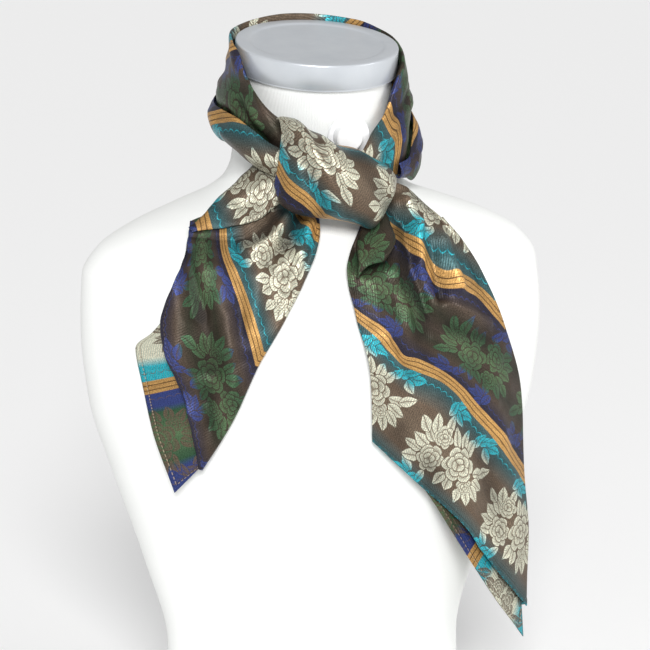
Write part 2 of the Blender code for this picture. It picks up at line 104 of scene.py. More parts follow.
# %% The form's and the drape's tables
def table(columns, *rows):
    """Named columns from rows of numbers."""
    return dict(zip(columns.split(), np.array(rows, float).T))


FORM = table(
    "height half_width front back centre",
    (0, 112, 80, 74, 4),
    (60, 110, 79, 72, 4),
    (130, 128, 92, 80, 4),
    (200, 152, 104, 90, 2),
    (250, 167, 109, 96, 2),
    (300, 172, 109, 98, 2),
    (340, 170, 97, 96, 4),
    (358, 158, 88, 90, 6),
    (372, 134, 79, 85, 7),
    (384, 102, 71, 79, 8),
    (394, 75, 64, 71, 8),
    (404, 62, 59, 63, 8),
    (416, 57, 56.5, 58, 8),
    (440, 55, 55, 56, 5),
    (460, 54.5, 54.5, 55, 1.2),
)
DRAPE = table(
    "height half_width depth centre",
    (250, 172, 109, 2),
    (300, 172, 109, 2),
    (340, 171, 98, 4),
    (358, 160, 91, 6),
    (375, 142, 80.5, 7),
    (390, 120, 71, 8),
    (405, 98, 65, 8),
    (420, 76, 57, 8),
    (440, 70, 56, 6),
)
CAP_RADIUS, CAP_BAND, CAP_LEAN, CAP_TOP, CAP_FORWARD = 58.0, 19.0, 10.0, 500.0, 6.0
print("tables for the form:", len(FORM["height"]), "and the drape:", len(DRAPE["height"]), "levels")

# %% Rows of places along the stretches round the neck
WRAP_UPPER = table(
    "bearing rim_r rim_z ridge_r ridge_z belly_r belly_z low_r low_z",
    (-14, 77.0, 431, 79.0, 427, 80.0, 421, 78.5, 413),
    (-25, 70.0, 440, 73.0, 433, 74.0, 426, 72.5, 417),
    (-33, 67.0, 448, 70.0, 438, 72.0, 431, 70.0, 422),
    (-42, 68.0, 455, 73.0, 441, 74.5, 435, 71.0, 426),
    (-55, 65.0, 467, 71.0, 447, 73.0, 441, 69.5, 431),
    (-68, 62.5, 480, 68.0, 462, 71.2, 450, 67.0, 439),
    (-84, 61.6, 498, 65.5, 479, 69.8, 461, 66.0, 444),
    (-108, 61.8, 505, 64.5, 482, 69.0, 462, 66.0, 446),
    (-135, 62.0, 509, 65.0, 491, 69.0, 468, 66.0, 449),
    (-180, 62.0, 514, 65.5, 496, 69.0, 471, 66.0, 450),
    (-225, 62.0, 510, 65.5, 493, 69.0, 468, 66.0, 448),
    (-252, 61.8, 502.5, 65.5, 486, 69.2, 462, 66.5, 443),
    (-272, 61.6, 496, 65.5, 481, 69.5, 457, 67.0, 438),
    (-290, 61.2, 491, 65.5, 478, 69.8, 452, 67.5, 430),
    (-304, 61.2, 484, 66.5, 470, 70.8, 444, 68.5, 417),
    (-314, 61.2, 472, 67.0, 458, 71.8, 435, 69.5, 409),
    (-325, 62.2, 453, 67.0, 443, 70.8, 427, 69.5, 407),
    (-338, 63.0, 440, 66.5, 433, 69.0, 424, 68.0, 414),
    (-350, 67.5, 427, 69.5, 424, 70.5, 420, 69.0, 413),
)
WRAP_LOWER = table(
    "bearing top_r top_z crest_r crest_z belly_r belly_z foot_r foot_z",
    (-20, 83.0, 426, 85.0, 423, 86.0, 416, 82.5, 408),
    (-31, 77.5, 431, 80.5, 428, 83.5, 420, 80.0, 412),
    (-41, 76.5, 436, 80.0, 433, 82.5, 424, 78.0, 415),
    (-54, 75.5, 446, 79.0, 442, 82.0, 432, 77.0, 422),
    (-67, 74.0, 453, 77.0, 449, 80.0, 440, 74.0, 430),
    (-85, 72.0, 456, 74.5, 452, 76.5, 444, 70.0, 433),
    (-108, 71.2, 458, 73.0, 454, 73.8, 446, 67.0, 433),
    (-135, 71.2, 461, 73.2, 456, 74.0, 445, 67.0, 430),
    (-180, 71.2, 464, 73.6, 458, 75.0, 446, 68.0, 429),
    (-225, 71.2, 462, 74.0, 455, 76.0, 443, 69.0, 425),
    (-252, 71.4, 457, 75.0, 449, 77.5, 436, 71.0, 417),
    (-275, 71.8, 449, 76.0, 440, 78.8, 424, 72.0, 407),
    (-290, 72.2, 444, 76.5, 435, 79.0, 419, 72.0, 403.5),
    (-303, 73.0, 431, 76.0, 425, 78.0, 415, 72.0, 402.5),
    (-312, 73.6, 420, 75.0, 417, 75.6, 412, 73.0, 406),
    (-323, 73.2, 418, 74.2, 415, 74.6, 411, 72.5, 407.5),
)
KNOT = table(
    "top_x top_z top_y foot_x foot_z foot_y crown_y",
    (-48, 455, -58, -54, 411, -68, -72),
    (-45, 456, -60, -52, 399, -75, -85),
    (-38, 455, -64, -43, 392, -79, -95),
    (-30, 448, -68, -32, 389, -79, -101),
    (-21, 444, -72, -19, 387, -79, -104),
    (-11, 437, -74, -8, 385, -80, -104),
    (2, 434, -74, 2, 382, -82, -102),
    (15, 427, -72, 10, 379, -84, -98),
    (27, 420, -70, 20, 386, -81, -91),
    (35, 412, -64, 31, 401, -68, -74),
    (31, 410, -64, 28, 402, -67, -70),
)
print("rows for the neck:", *(len(next(iter(rows.values()))) for rows in (WRAP_UPPER, WRAP_LOWER, KNOT)))

# %% Rows of places along the tails and the two short stretches on them
TAIL_LEFT = table(
    "across top_x top_z chest_x chest_z bend_x bend_z sway_x sway_z fold_x fold_z hem_x hem_z",
    (0, -105, 380, -117, 354, -133, 314, -119, 262, -111, 217, -128, 199),
    (40, -97, 383, -102, 362, -107, 318, -101, 282, -92, 252, -140, 241),
    (81, -84, 386, -89, 364, -86, 347, -80, 321, -73, 296, -145, 271),
    (112, -69, 389, -69, 371, -67, 354, -63, 336, -57, 320, -149, 299),
    (140, -53, 393, -52, 382, -50, 368, -46, 355, -42, 342, -139, 312),
    (170, -38, 396, -35, 391, -31, 386, -27, 381, -23, 375, -118, 338),
    (180, -36, 400, -32, 397, -28, 393, -24, 389, -21, 385, -105, 352),
)
TAIL_RIGHT = table(
    "across top_x top_z chest_x chest_z bend_x bend_z sway_x sway_z fold_x fold_z hem_x hem_z",
    (0, 2, 234, 32, 204, 66, 172, 101, 128, 138, 88, 138.5, 63),
    (12, 2, 247, 31, 218, 63, 188, 100, 145, 138, 104, 122, 83),
    (38, 1, 276, 27, 250, 58, 222, 96, 182, 139, 138, 109, 99),
    (76, -8, 322, 23, 293, 54, 272, 91, 237, 133, 189, 84, 134),
    (120, -10, 348, 20, 333, 50, 309, 87, 281, 128, 251, 53, 181),
    (164, 12, 384, 32, 372, 57, 347, 83, 331, 107, 311, 27, 222),
    (190, 22, 400, 40, 389, 56, 379, 71, 369, 84, 361, 14, 262),
    (203, 24, 404, 36, 402.5, 46, 399, 57, 391, 72, 377, 9, 290),
)
FLAP = table(
    "first_x first_z first_rise second_x second_z second_rise",
    (-46, 423, -4, -36, 398, 0),
    (-53, 420, -4, -46, 393, 0),
    (-59, 414, -3, -62, 382, 0.6),
    (-71, 404, -1, -76, 378, 0.6),
    (-83, 394, 0, -87, 376, 0.3),
    (-94, 384, 0, -98, 375, 0),
    (-107, 376, 0, -106, 373.5, 0),
)
GATHER = table(
    "first_x first_z first_rise second_x second_z second_rise",
    (11, 388, -0.7, 25, 391, 0),
    (8, 377, 0.5, 25, 385.5, 0.7),
    (3, 370, 1.5, 27, 379, 1.5),
    (-1, 362, 2.8, 28, 372, 2.8),
    (-3, 352, 5.2, 27, 365, 5.2),
    (-5, 345.5, 5.6, 24, 360.5, 5.6),
    (-5.5, 343.5, 3.8, 22, 358.5, 3.8),
    (-5, 344.5, 1.6, 21.5, 359.5, 1.6),
)
print("tail rows:", len(TAIL_LEFT["across"]), "and", len(TAIL_RIGHT["across"]))

# %% [markdown]
# ## Folds
#
# Silk shows its softness in its folds. A fold is easiest to give as a line with a height and a width: the
# cloth rises, or sinks where the height is below zero, along the line and fades out to both sides and past
# its ends. These tables hold the large folds, which the solids have too.

# %% Fold tables of the tails and short stretches
TAIL_LEFT_FOLDS = table(
    "from_x from_z to_x to_z height width",
    (-46, 386, -76, 369, -2.2, 5),
    (-47, 380, -68, 363, 2.4, 6),
    (-32, 382, -48, 352, -2.2, 5),
    (-25, 378, -30, 360, 1.2, 4),
    (-112, 350, -120, 290, 3.0, 13),
    (-96, 350, -106, 275, -2.0, 12),
    (-80, 340, -92, 270, 1.5, 12),
)
TAIL_RIGHT_FOLDS = table(
    "from_x from_z to_x to_z height width",
    (12, 394, 10, 366, -2.5, 9),
    (27, 392, 44, 335, -2.4, 8),
    (45, 392, 68, 335, 4.0, 10),
    (20, 330, 62, 300, -2.4, 11),
    (8, 345, 10, 285, 3.0, 10),
    (75, 330, 104, 235, 3.0, 16),
    (40, 260, 110, 150, 1.5, 22),
)
FLAP_FOLDS = table(
    "from_x from_z to_x to_z height width",
    (-50, 410, -95, 385, 1.6, 8),
    (-50, 400, -75, 384, -1.0, 5),
)
GATHER_FOLDS = table("from_x from_z to_x to_z height width", (15, 378, 13, 358, 1.6, 6))
KNOT_FOLDS = table(
    "from_x from_z to_x to_z height width",
    (-44, 440, -24, 395, -2.2, 5),
    (-34, 436, -12, 392, 2.0, 6),
    (-4, 430, 20, 392, -2.0, 6),
)
WRAP_UPPER_FOLDS = table(
    "from_bearing from_z to_bearing to_z height width",
    (-110, 480, -200, 486, -1.6, 5),
    (-120, 470, -235, 466, 1.4, 5),
    (-215, 492, -290, 462, -1.4, 5),
    (-300, 462, -335, 420, -1.6, 5),
)
WRAP_LOWER_FOLDS = table(
    "from_bearing from_z to_bearing to_z height width",
    (-100, 441, -190, 446, -1.3, 4),
    (-170, 438, -260, 434, 1.2, 4),
    (-240, 446, -300, 416, -1.2, 4),
    (-50, 432, -80, 446, -1.0, 4),
)
print("large folds:", len(TAIL_LEFT_FOLDS["width"]) + len(TAIL_RIGHT_FOLDS["width"]), "on the tails")

# %% [markdown]
# The finer creases lie on the front of the cloth alone. They fan out from the knot, where the silk is
# squeezed, and get wider and lower as they run down.

# %% Finer creases
TAIL_LEFT_CREASES = table(
    "from_x from_z to_x to_z height width",
    (-47, 388, -61, 374, -3.6, 3.0),
    (-61, 374, -79, 368, -3.0, 3.2),
    (-41, 386, -55, 370, 5.6, 3.0),
    (-55, 370, -74, 362, 4.4, 3.4),
    (-35, 384, -48, 368, -4.4, 3.2),
    (-48, 368, -62, 356, -3.2, 4.0),
    (-29, 380, -41, 360, 5.0, 3.6),
    (-41, 360, -52, 340, 3.8, 4.6),
    (-25, 374, -35, 346, -3.6, 4.0),
    (-111, 371.6, -63, 370.6, -0.9, 1.1),
    (-111, 374, -63, 373, 0.6, 1.3),
    (-113, 362, -111, 324, -4.0, 5.0),
    (-111, 324, -104, 288, -3.0, 6.0),
    (-124, 345, -125, 292, 4.4, 7.0),
    (-98, 352, -93, 304, 3.6, 7.0),
    (-84, 345, -88, 300, -2.4, 5.0),
    (-93, 304, -88, 262, 2.2, 6.0),
    (-70, 352, -76, 318, 2.0, 5.0),
    (-122, 280, -112, 236, 2.6, 5.0),
    (-108, 272, -104, 238, -2.4, 4.5),
)
TAIL_RIGHT_CREASES = table(
    "from_x from_z to_x to_z height width",
    (29, 391, 37, 373, -3.4, 3.6),
    (37, 373, 34, 354, -3.4, 4.0),
    (34, 354, 26, 330, -2.8, 5.0),
    (42, 390, 47, 372, 5.0, 3.6),
    (47, 372, 45, 352, 5.4, 4.0),
    (54, 358, 57, 328, -3.4, 3.0),
    (57, 328, 65, 316, -2.8, 3.6),
    (65, 362, 68, 332, 5.6, 5.0),
    (60, 322, 92, 307, 5.2, 4.0),
    (62, 309, 98, 294, -2.8, 5.0),
    (35, 346, 44, 317, -3.0, 4.0),
    (44, 347, 50, 322, 4.8, 3.8),
    (24, 346, 30, 312, 4.2, 4.6),
    (17, 303, 31, 279, -1.8, 3.6),
    (11, 304, 25, 276, 2.4, 4.6),
    (57, 396, 78, 362, -2.4, 4.5),
    (72, 386, 90, 352, 1.8, 5.0),
    (84, 352, 102, 318, -1.8, 5.0),
    (48, 300, 80, 268, 1.8, 7.0),
    (40, 262, 78, 200, 2.2, 9.0),
    (80, 222, 112, 162, -2.0, 8.0),
    (26, 238, 60, 194, -1.8, 7.0),
    (94, 258, 118, 192, 2.4, 8.0),
    (60, 190, 96, 140, 1.6, 7.0),
    (100, 150, 126, 112, 1.8, 7.0),
    (4, 350, 24, 358, -4.5, 5.5),
    (20, 362, 30, 372, -3.5, 4.0),
    (30, 398, 58, 392, -2.6, 4.0),
)
FLAP_CREASES = table(
    "from_x from_z to_x to_z height width",
    (-52, 404, -80, 388, 0.8, 3),
    (-66, 400, -100, 380, -0.5, 3),
)
GATHER_CREASES = table(
    "from_x from_z to_x to_z height width",
    (12, 388, 4, 352, 0.7, 3),
    (22, 386, 22, 362, 0.7, 3),
)
KNOT_CREASES = table(
    "from_x from_z to_x to_z height width",
    (-31, 446, -8, 388, -1.8, 3.5),
    (-22, 446, 0, 390, 1.6, 4.5),
    (-12, 440, 14, 388, 1.2, 6),
    (2, 436, 22, 398, -1.2, 4),
    (10, 430, 30, 398, 1.6, 5),
    (-46, 425, -38, 398, 1.2, 4),
    (-40, 418, -26, 390, -1.0, 3),
)
WRAP_UPPER_CREASES = table(
    "from_bearing from_z to_bearing to_z height width",
    (-32, 434, -62, 476, 2.6, 3.5),
    (-62, 476, -92, 497, 1.8, 4),
    (-36, 425, -70, 462, -2.2, 3.5),
    (-40, 436, -80, 452, -2.4, 4),
    (-90, 492, -150, 500, -1.2, 5),
    (-140, 478, -210, 474, 1.4, 4),
    (-190, 500, -270, 486, 1.2, 5),
    (-250, 470, -310, 452, 1.6, 4),
    (-280, 480, -320, 450, -1.4, 4),
    (-296, 492, -318, 470, 1.6, 4),
)
WRAP_LOWER_CREASES = table(
    "from_bearing from_z to_bearing to_z height width",
    (-35, 424, -75, 441, 1.5, 3),
    (-38, 416, -80, 434, -1.2, 3),
    (-90, 450, -160, 452, 1.0, 3),
    (-190, 452, -250, 446, -1.0, 3),
    (-260, 440, -305, 418, 1.4, 3),
)
print("finer creases:", len(TAIL_LEFT_CREASES["width"]) + len(TAIL_RIGHT_CREASES["width"]), "on the tails")

# %% [markdown]
# A fold also takes cloth in, and then the woven stripes bend beside it. Each row below pulls the drawing
# across its stripes: a place, a shift in millimetres and how far the pull reaches. The place is x and z on a
# tail, and the two running lengths along the sheet on a stretch round the neck.

# %% Pulls of the drawing
NO_PULLS = {}
TAIL_LEFT_PULLS = table("x z shift reach", (-91, 335, -2.0, 14))
TAIL_RIGHT_PULLS = table(
    "x z shift reach",
    (60, 342, 7.0, 13),
    (92, 326, -2.5, 13),
    (36, 368, -2.0, 10),
    (12, 316, -3.5, 12),
    (62, 266, -5.0, 26),
    (26, 293, 3.5, 7),
)
UPPER_PULLS = table("x z shift reach", (372, 12, -9.0, 11), (258, -20, 11.0, 22))
print("pulls of the drawing:", len(TAIL_LEFT_PULLS["x"]) + len(TAIL_RIGHT_PULLS["x"]), "on the tails")

# %% [markdown]
# ## Curves and surfaces
#
# A cloth surface here is a grid. One direction follows the rows of a table, and the other runs from station
# to station. Between the given numbers a curve has to be smooth and must not swing past them, so monotone
# cubic pieces are used. Every helper works on whole arrays at once.

# %% Smooth curves through rows of numbers
def flow(at, knots, values):
    """A curve through the values that never swings past them: a cubic piece between each two knots,
    whose slope at a knot is the harmonic mean of its two neighbours' slopes, or 0 at a turn."""
    at = np.clip(np.asarray(at, float), knots[0], knots[-1])
    steps = np.diff(knots)
    slopes = np.diff(values) / steps
    turns = np.zeros_like(values)
    turns[0], turns[-1] = slopes[0], slopes[-1]
    rising = slopes[:-1] * slopes[1:] > 0
    left = np.where(rising, slopes[:-1], 1.0)
    right = np.where(rising, slopes[1:], 1.0)
    first = 2 * steps[1:] + steps[:-1]
    second = steps[1:] + 2 * steps[:-1]
    turns[1:-1] = np.where(rising, (first + second) / (first / left + second / right), 0.0)
    piece = np.clip(np.searchsorted(knots, at, side="right") - 1, 0, len(steps) - 1)
    t = (at - knots[piece]) / steps[piece]
    return ((2 * t**3 - 3 * t**2 + 1) * values[piece]
            + (t**3 - 2 * t**2 + t) * steps[piece] * turns[piece]
            + (3 * t**2 - 2 * t**3) * values[piece + 1]
            + (t**3 - t**2) * steps[piece] * turns[piece + 1])


def spread(knots, count, columns):
    """Evenly spaced rows between a table's own, each column a smooth curve through its numbers."""
    at = np.linspace(knots[0], knots[-1], count)
    return at, np.stack([flow(at, knots, column) for column in columns.T], -1)


def along_rows(columns, count):
    """Each row's stations joined by a smooth curve with evenly spaced points."""
    at = np.linspace(0, columns.shape[1] - 1, count)
    knots = np.arange(columns.shape[1], dtype=float)
    return np.array([flow(at, knots, row) for row in columns])


def stations(rows, names):
    """The named columns of a table, one beside the other."""
    return np.stack([rows[name] for name in names.split()], -1)


print("half way between 0 and 10 on a curve through 0, 10, 12:",
      round(float(flow(0.5, np.arange(3.0), np.array([0.0, 10.0, 12.0]))), 2))


# %% The surface that the tails lie on, and the neck's leaning centre line
NECK_BEND = 440.0         # the neck is upright below this height


def neck_centre(height):
    """How far back the neck's centre lies: above the bend it leans forward by the tangent of the cap's
    angle, and below it stays where it is at the bend."""
    lean = math.tan(math.radians(CAP_LEAN))
    return (CAP_TOP - np.maximum(height, NECK_BEND)) * lean - CAP_FORWARD


def drape_depth(x, z):
    """The front of an ellipse at each height: centre minus depth times the root of 1 - (x / half)^2."""
    half = flow(z, DRAPE["height"], DRAPE["half_width"])
    depth = flow(z, DRAPE["height"], DRAPE["depth"])
    centre = flow(z, DRAPE["height"], DRAPE["centre"])
    return centre - depth * np.sqrt(np.clip(1 - (x / half) ** 2, 0.02, 1))


def on_drape(x, z, lift):
    """Points that stand off the drape surface by a lift along its normal."""
    nudge = 0.5
    slope_x = (drape_depth(x + nudge, z) - drape_depth(x - nudge, z)) / (2 * nudge)
    slope_z = (drape_depth(x, z + nudge) - drape_depth(x, z - nudge)) / (2 * nudge)
    normal = np.stack([slope_x, -np.ones_like(slope_x), slope_z], -1)
    normal /= np.linalg.norm(normal, axis=-1, keepdims=True)
    return np.stack([x, drape_depth(x, z), z], -1) + lift[..., None] * normal


print("the drape's front at 300 mm lies at Y", round(float(drape_depth(np.array(0.0), np.array(300.0)))))


# %% Ridges, troughs and slack
SLACK_DIVISOR = 90.0      # leaves the waves about a millimetre high


def fold_height(folds, x, z):
    """The sum of the folds at a place: height times exp(-(distance from the line / width)^2)."""
    total = np.zeros_like(x)
    for i in range(len(folds["height"])):
        along = np.array([folds["to_x"][i] - folds["from_x"][i], folds["to_z"][i] - folds["from_z"][i]])
        length = np.hypot(*along)
        along /= length
        dx, dz = x - folds["from_x"][i], z - folds["from_z"][i]
        s = dx * along[0] + dz * along[1]
        past = np.maximum(np.maximum(-s, s - length), 0)
        away = np.hypot(dx * along[1] - dz * along[0], past)
        total += folds["height"][i] * np.exp(-(away / folds["width"][i]) ** 2)
    return total


def slack(x, z, height, seed):
    """The light unevenness of cloth that nothing pulls flat: sine waves of different directions, each bent
    a little by another sine. Long ones have 16 to 50 mm and short ones 7 to 13 mm. Each is as high as
    it is long, and the sum is tamed by a divisor."""
    rng = np.random.default_rng(seed)
    total = np.zeros_like(x)
    for shortest, longest, count in ((16, 50, 8), (7, 13, 4)):
        for _ in range(count):
            length, angle = rng.uniform(shortest, longest), rng.uniform(0, math.pi)
            bend = 0.6 * np.sin((x * math.sin(angle) - z * math.cos(angle)) / length + count)
            wave = (x * math.cos(angle) + z * math.sin(angle)) * 2 * math.pi / length
            total += length * np.sin(wave + bend + rng.uniform(0, 2 * math.pi))
    return height * total / SLACK_DIVISOR


UNDER_LIFT, FRONT_LIFT = 1.2, 5.5      # how far a tail's two layers lie off the drape surface
LAYER_STEP = 1.3                       # the least distance between them
FOLD_RADIUS, FOLD_SOFTNESS = 2.1, 0.6


def layer_lifts(folds, x, z, extra=0.0):
    """The lifts of a tail's hem layer and front layer. A ridge lifts both, by the part of the folds over
    0: half of the folds' height plus the root of its square and a small softness squared. Troughs and
    creases move the front alone, and never closer than one step to the layer below."""
    fold = fold_height(folds, x, z)
    ridge = (fold + np.sqrt(fold**2 + FOLD_SOFTNESS**2)) / 2
    return UNDER_LIFT + ridge, np.maximum(FRONT_LIFT + fold + extra, UNDER_LIFT + LAYER_STEP + ridge)


print("slack at one place:", round(float(slack(np.array([10.0]), np.array([20.0]), 1.0, 3)[0]), 2), "mm")


# %% [markdown]
# ## Where the drawing lies on the cloth
#
# The woven drawing belongs to the flat cloth, so each point of a sheet needs its place on the flat square:
# how far it is across the stripes, and how far along them. These two numbers, in centimetres, are kept as
# the sheet's UV map. On a tail the rows of the grid follow the stripes, so the first number is known, and
# the second is the length along the row, with each row shifted so that the drawing isn't sheared.

# %% Lengths along a sheet
def lengths(points, axis):
    """The running length along a grid of points: the sum of the distances between neighbours."""
    steps = np.linalg.norm(np.diff(points, axis=axis), axis=-1)
    zero = np.zeros_like(np.take(steps, [0], axis=axis))
    return np.cumsum(np.concatenate([zero, steps], axis=axis), axis=axis)


def pulled(rows, x, z):
    """How far the drawing is pulled across its stripes at a place, where a fold takes cloth in: the sum of
    shift times exp(-(distance / reach)^2)."""
    total = np.zeros_like(x)
    for at_x, at_z, shift, reach in zip(*rows.values()):
        total += shift * np.exp(-((x - at_x) ** 2 + (z - at_z) ** 2) / reach**2)
    return total


def along_stripes(points, front):
    """The length along each row, each row shifted so that the step to the next row is square to the
    stripes: the shift is the average of the step's share along the row."""
    run = lengths(points, 1)
    tangent = np.gradient(points, axis=1)
    tangent /= np.maximum(np.linalg.norm(tangent, axis=-1, keepdims=True), 1e-9)
    share = np.sum(np.diff(points, axis=0) * tangent[:-1], -1)
    shift = np.mean((run[:-1] + share - run[1:])[:, :front], 1)
    return run + np.concatenate([[0.0], np.cumsum(shift)])[:, None]


square = np.stack(np.meshgrid(np.arange(3.0), np.arange(2.0)) + [np.zeros((2, 3))], -1)
print("running lengths on a small square grid:", along_stripes(square, 3).tolist())


# %% [markdown]
# ## From a grid to a sheet of cloth
#
# A grid of points becomes a mesh of four-sided faces. The Solidify modifier gives it the silk's thickness,
# and gives the faces of its second side the second material, so the reverse can show other colours. Each
# point also keeps its relief, how far the folds raise or sink it, with painted shade added on some
# stretches. It is kept as an attribute, and from it the material paints shade into troughs and a highlight
# onto ridges.

# %% Make a sheet
SILK_WALL = 0.7           # the folded silk's thickness in the scene
FAR_FROM_HEM = 50.0       # centimetres, for stretches that no hem is near
CM = 0.1                  # centimetres in a millimetre


def add_mesh(name, points, faces):
    """A smooth mesh object at the origin, from a grid of points in millimetres and faces by index."""
    mesh = bpy.data.meshes.new(name)
    mesh.from_pydata((points.reshape(-1, 3) * MM).tolist(), [], faces)
    mesh.update()
    mesh.shade_smooth()
    piece = bpy.data.objects.new(name, mesh)
    bpy.context.scene.collection.objects.link(piece)
    return piece


def grid_faces(rows, columns, closed=False):
    """Four-sided faces between neighbouring rows and columns; closed joins the last column to the first."""
    index = np.arange(rows * columns).reshape(rows, columns)
    beside = np.roll(index, -1, 1) if closed else index[:, 1:]
    here = index if closed else index[:, :-1]
    return np.stack([here[:-1], beside[:-1], beside[1:], here[1:]], -1).reshape(-1, 4)


def make_sheet(name, points, across, along, relief, hem=None, outward=(0.0, -1.0, 0.0), window=None):
    """A cloth sheet from a grid, with its place on the flat cloth as a UV map and its relief, how far the
    folds raise or sink it in millimetres, as a number at each vertex; the material paints shade and a
    highlight from it. The faces are turned over where the average normal over the window looks away from
    outward."""
    rows, columns = points.shape[:2]
    faces = grid_faces(rows, columns)
    corner = points.reshape(-1, 3)[faces]
    normal = np.cross(corner[:, 1] - corner[:, 0], corner[:, 3] - corner[:, 0])
    normal = normal.reshape(rows - 1, columns - 1, 3)[:, :window]
    if np.sum(normal * np.broadcast_to(outward, points.shape)[:-1, :-1][:, :window]) < 0:
        faces = faces[:, ::-1]
    sheet = add_mesh(name, points, faces.tolist())
    maps = {"cloth": (across, along), "hem": hem or (np.full_like(across, FAR_FROM_HEM / CM), along)}
    for label, (first, second) in maps.items():
        layer = sheet.data.uv_layers.new(name=label)
        flat = np.stack([first, second], -1).reshape(-1, 2)[faces.reshape(-1)] * CM
        layer.data.foreach_set("uv", flat.astype(np.float32).reshape(-1))
    # the relief, from which the silk material paints shade in troughs and a highlight on ridges
    raised = sheet.data.attributes.new("relief", "FLOAT", "POINT")
    raised.data.foreach_set("value", relief.astype(np.float32).reshape(-1))
    wall = sheet.modifiers.new("silk wall", "SOLIDIFY")
    wall.thickness = SILK_WALL * MM
    wall.offset = 0.0
    wall.material_offset = 1
    print(name, "has", len(faces), "faces; across", np.round([across.min(), across.max()]),
          "along", np.round([along.min(), along.max()]), "mm")
    return sheet


# %% [markdown]
# ## The tails
#
# A tail is the corner of the square, folded along one edge: the front layer comes down from the knot, turns
# round a soft fold, and the hem layer runs back behind it, so that its reverse peeks out. Both layers lie
# off the form by their lifts, and the folds and creases move them. The hem is turned in twice and sewn, so
# the cloth is a little thicker there, with a shallow groove where the stitches pull it down.

# %% The surface of a tail
HEM_WIDTH = 4.0
INNER_SHARE = 0.77        # a column this far along a row lies well inside the folded edge
EDGE_FADE = 8             # creases fade out over this part of a row, an eighth, at the folded edge
FOLD_SHADE = 0.5          # how much of the large folds' height counts as relief
LEFT_SEED, RIGHT_SEED = 11, 12


def hem_relief(distance):
    """The hem's relief in millimetres: raised 0.35 inside its width, and sunk 0.25 along its seam."""
    raised = 0.35 / (1 + np.exp((distance - HEM_WIDTH) / 0.35))
    return raised - 0.25 * np.exp(-((distance - HEM_WIDTH) / 0.6) ** 2)


def tail_surface(rows, folds, creases, seed, front=80, turn_steps=7, under=60, sections=140):
    """Rows along the stripes, down the front layer, round the folded edge by a half circle, and straight
    back to the hem. The front layer draws in by the fold's radius, with the sixth power of the way along
    a row. Returns the grid, how far each row and point lies from the hem, how many columns are the front
    layer, and the relief."""
    across = rows["across"]
    at, columns = spread(across, sections, stations(rows, "top_x chest_x bend_x sway_x fold_x"))
    x = along_rows(columns, front)
    z = along_rows(spread(across, sections, stations(rows, "top_z chest_z bend_z sway_z fold_z"))[1], front)
    hem = spread(across, sections, stations(rows, "hem_x hem_z"))[1]
    fold = np.stack([x[:, -1], z[:, -1]], -1)
    edge = np.gradient(fold, axis=0)
    edge /= np.linalg.norm(edge, axis=1, keepdims=True)
    out = np.stack([edge[:, 1], -edge[:, 0]], -1)
    back = int(front * INNER_SHARE)
    out *= np.sign(np.sum(out * (fold - np.stack([x[:, back], z[:, back]], -1)), 1))[:, None]
    inset = (FOLD_RADIUS * np.linspace(0, 1, front) ** 6)[None]
    x -= out[:, :1] * inset
    z -= out[:, 1:] * inset
    turn = np.radians(np.linspace(90, -90, turn_steps + 2))[1:-1]
    centre = fold - out * FOLD_RADIUS
    arc_x = centre[:, :1] + out[:, :1] * FOLD_RADIUS * np.cos(turn)
    arc_z = centre[:, 1:] + out[:, 1:] * FOLD_RADIUS * np.cos(turn)
    share = np.linspace(0, 1, under)[None]
    back_x = centre[:, :1] + (hem[:, :1] - centre[:, :1]) * share
    back_z = centre[:, 1:] + (hem[:, 1:] - centre[:, 1:]) * share
    fade = np.clip((1 - np.linspace(0, 1, front)) * EDGE_FADE, 0, 1)[None]
    extra = (fold_height(creases, x, z) + slack(x, z, 1.0, seed)) * fade
    # painted shade and highlight: the relief that the material darkens and lightens the colour by, half the
    # large folds' height plus the creases and slack
    relief = (fold_height(folds, x, z) * FOLD_SHADE + extra) * fade
    relief = np.pad(relief, ((0, 0), (0, turn_steps + under)))
    front_lift = layer_lifts(folds, x, z, extra)[1]
    back_lift = layer_lifts(folds, back_x, back_z)[0]
    first, last = front_lift[:, -1:], back_lift[:, :1]
    arc_lift = (first + last) / 2 + (first - last) / 2 * np.sin(turn)
    x = np.concatenate([x, arc_x, back_x], 1)
    z = np.concatenate([z, arc_z, back_z], 1)
    lift = np.concatenate([front_lift, arc_lift, back_lift], 1)
    plain = on_drape(x, z, lift)
    run = lengths(plain, 1)
    to_hem = np.minimum(run[:, -1:] - run, np.broadcast_to(at[:, None], run.shape))
    lift = lift + hem_relief(to_hem)
    return on_drape(x, z, lift), at, to_hem, front, relief


def make_tail(name, rows, folds, creases, pulls, seed, first_stripe, first_motif):
    """A tail's sheet; first_stripe and first_motif are where its first row starts in the drawing, in
    millimetres across and along the stripes."""
    points, at, to_hem, front, relief = tail_surface(rows, folds, creases, seed)
    along = along_stripes(points, front)
    across = at[:, None] + pulled(pulls, points[..., 0], points[..., 2]) + first_stripe
    run = lengths(points, 1)
    from_end = run[:, -1:] - run
    seam = np.where(from_end < at[:, None], at[:, None], along)
    along = along + first_motif
    return make_sheet(name, points, across, along, relief, hem=(to_hem, seam), window=front - 1)


tail_left = make_tail("tail_left_silk", TAIL_LEFT, TAIL_LEFT_FOLDS, TAIL_LEFT_CREASES, TAIL_LEFT_PULLS,
                      LEFT_SEED, first_stripe=6.0, first_motif=10.0)
tail_right = make_tail("tail_right_silk", TAIL_RIGHT, TAIL_RIGHT_FOLDS, TAIL_RIGHT_CREASES, TAIL_RIGHT_PULLS,
                       RIGHT_SEED, first_stripe=98.0, first_motif=13.0)


# %% [markdown]
# ## The two short stretches on the tails
#
# A flap covers the top of the left tail, and a short gathered stretch the top of the right one. Each lies
# on the tail's front layer, a cloth's thickness above it, with its edges rolled down a little.

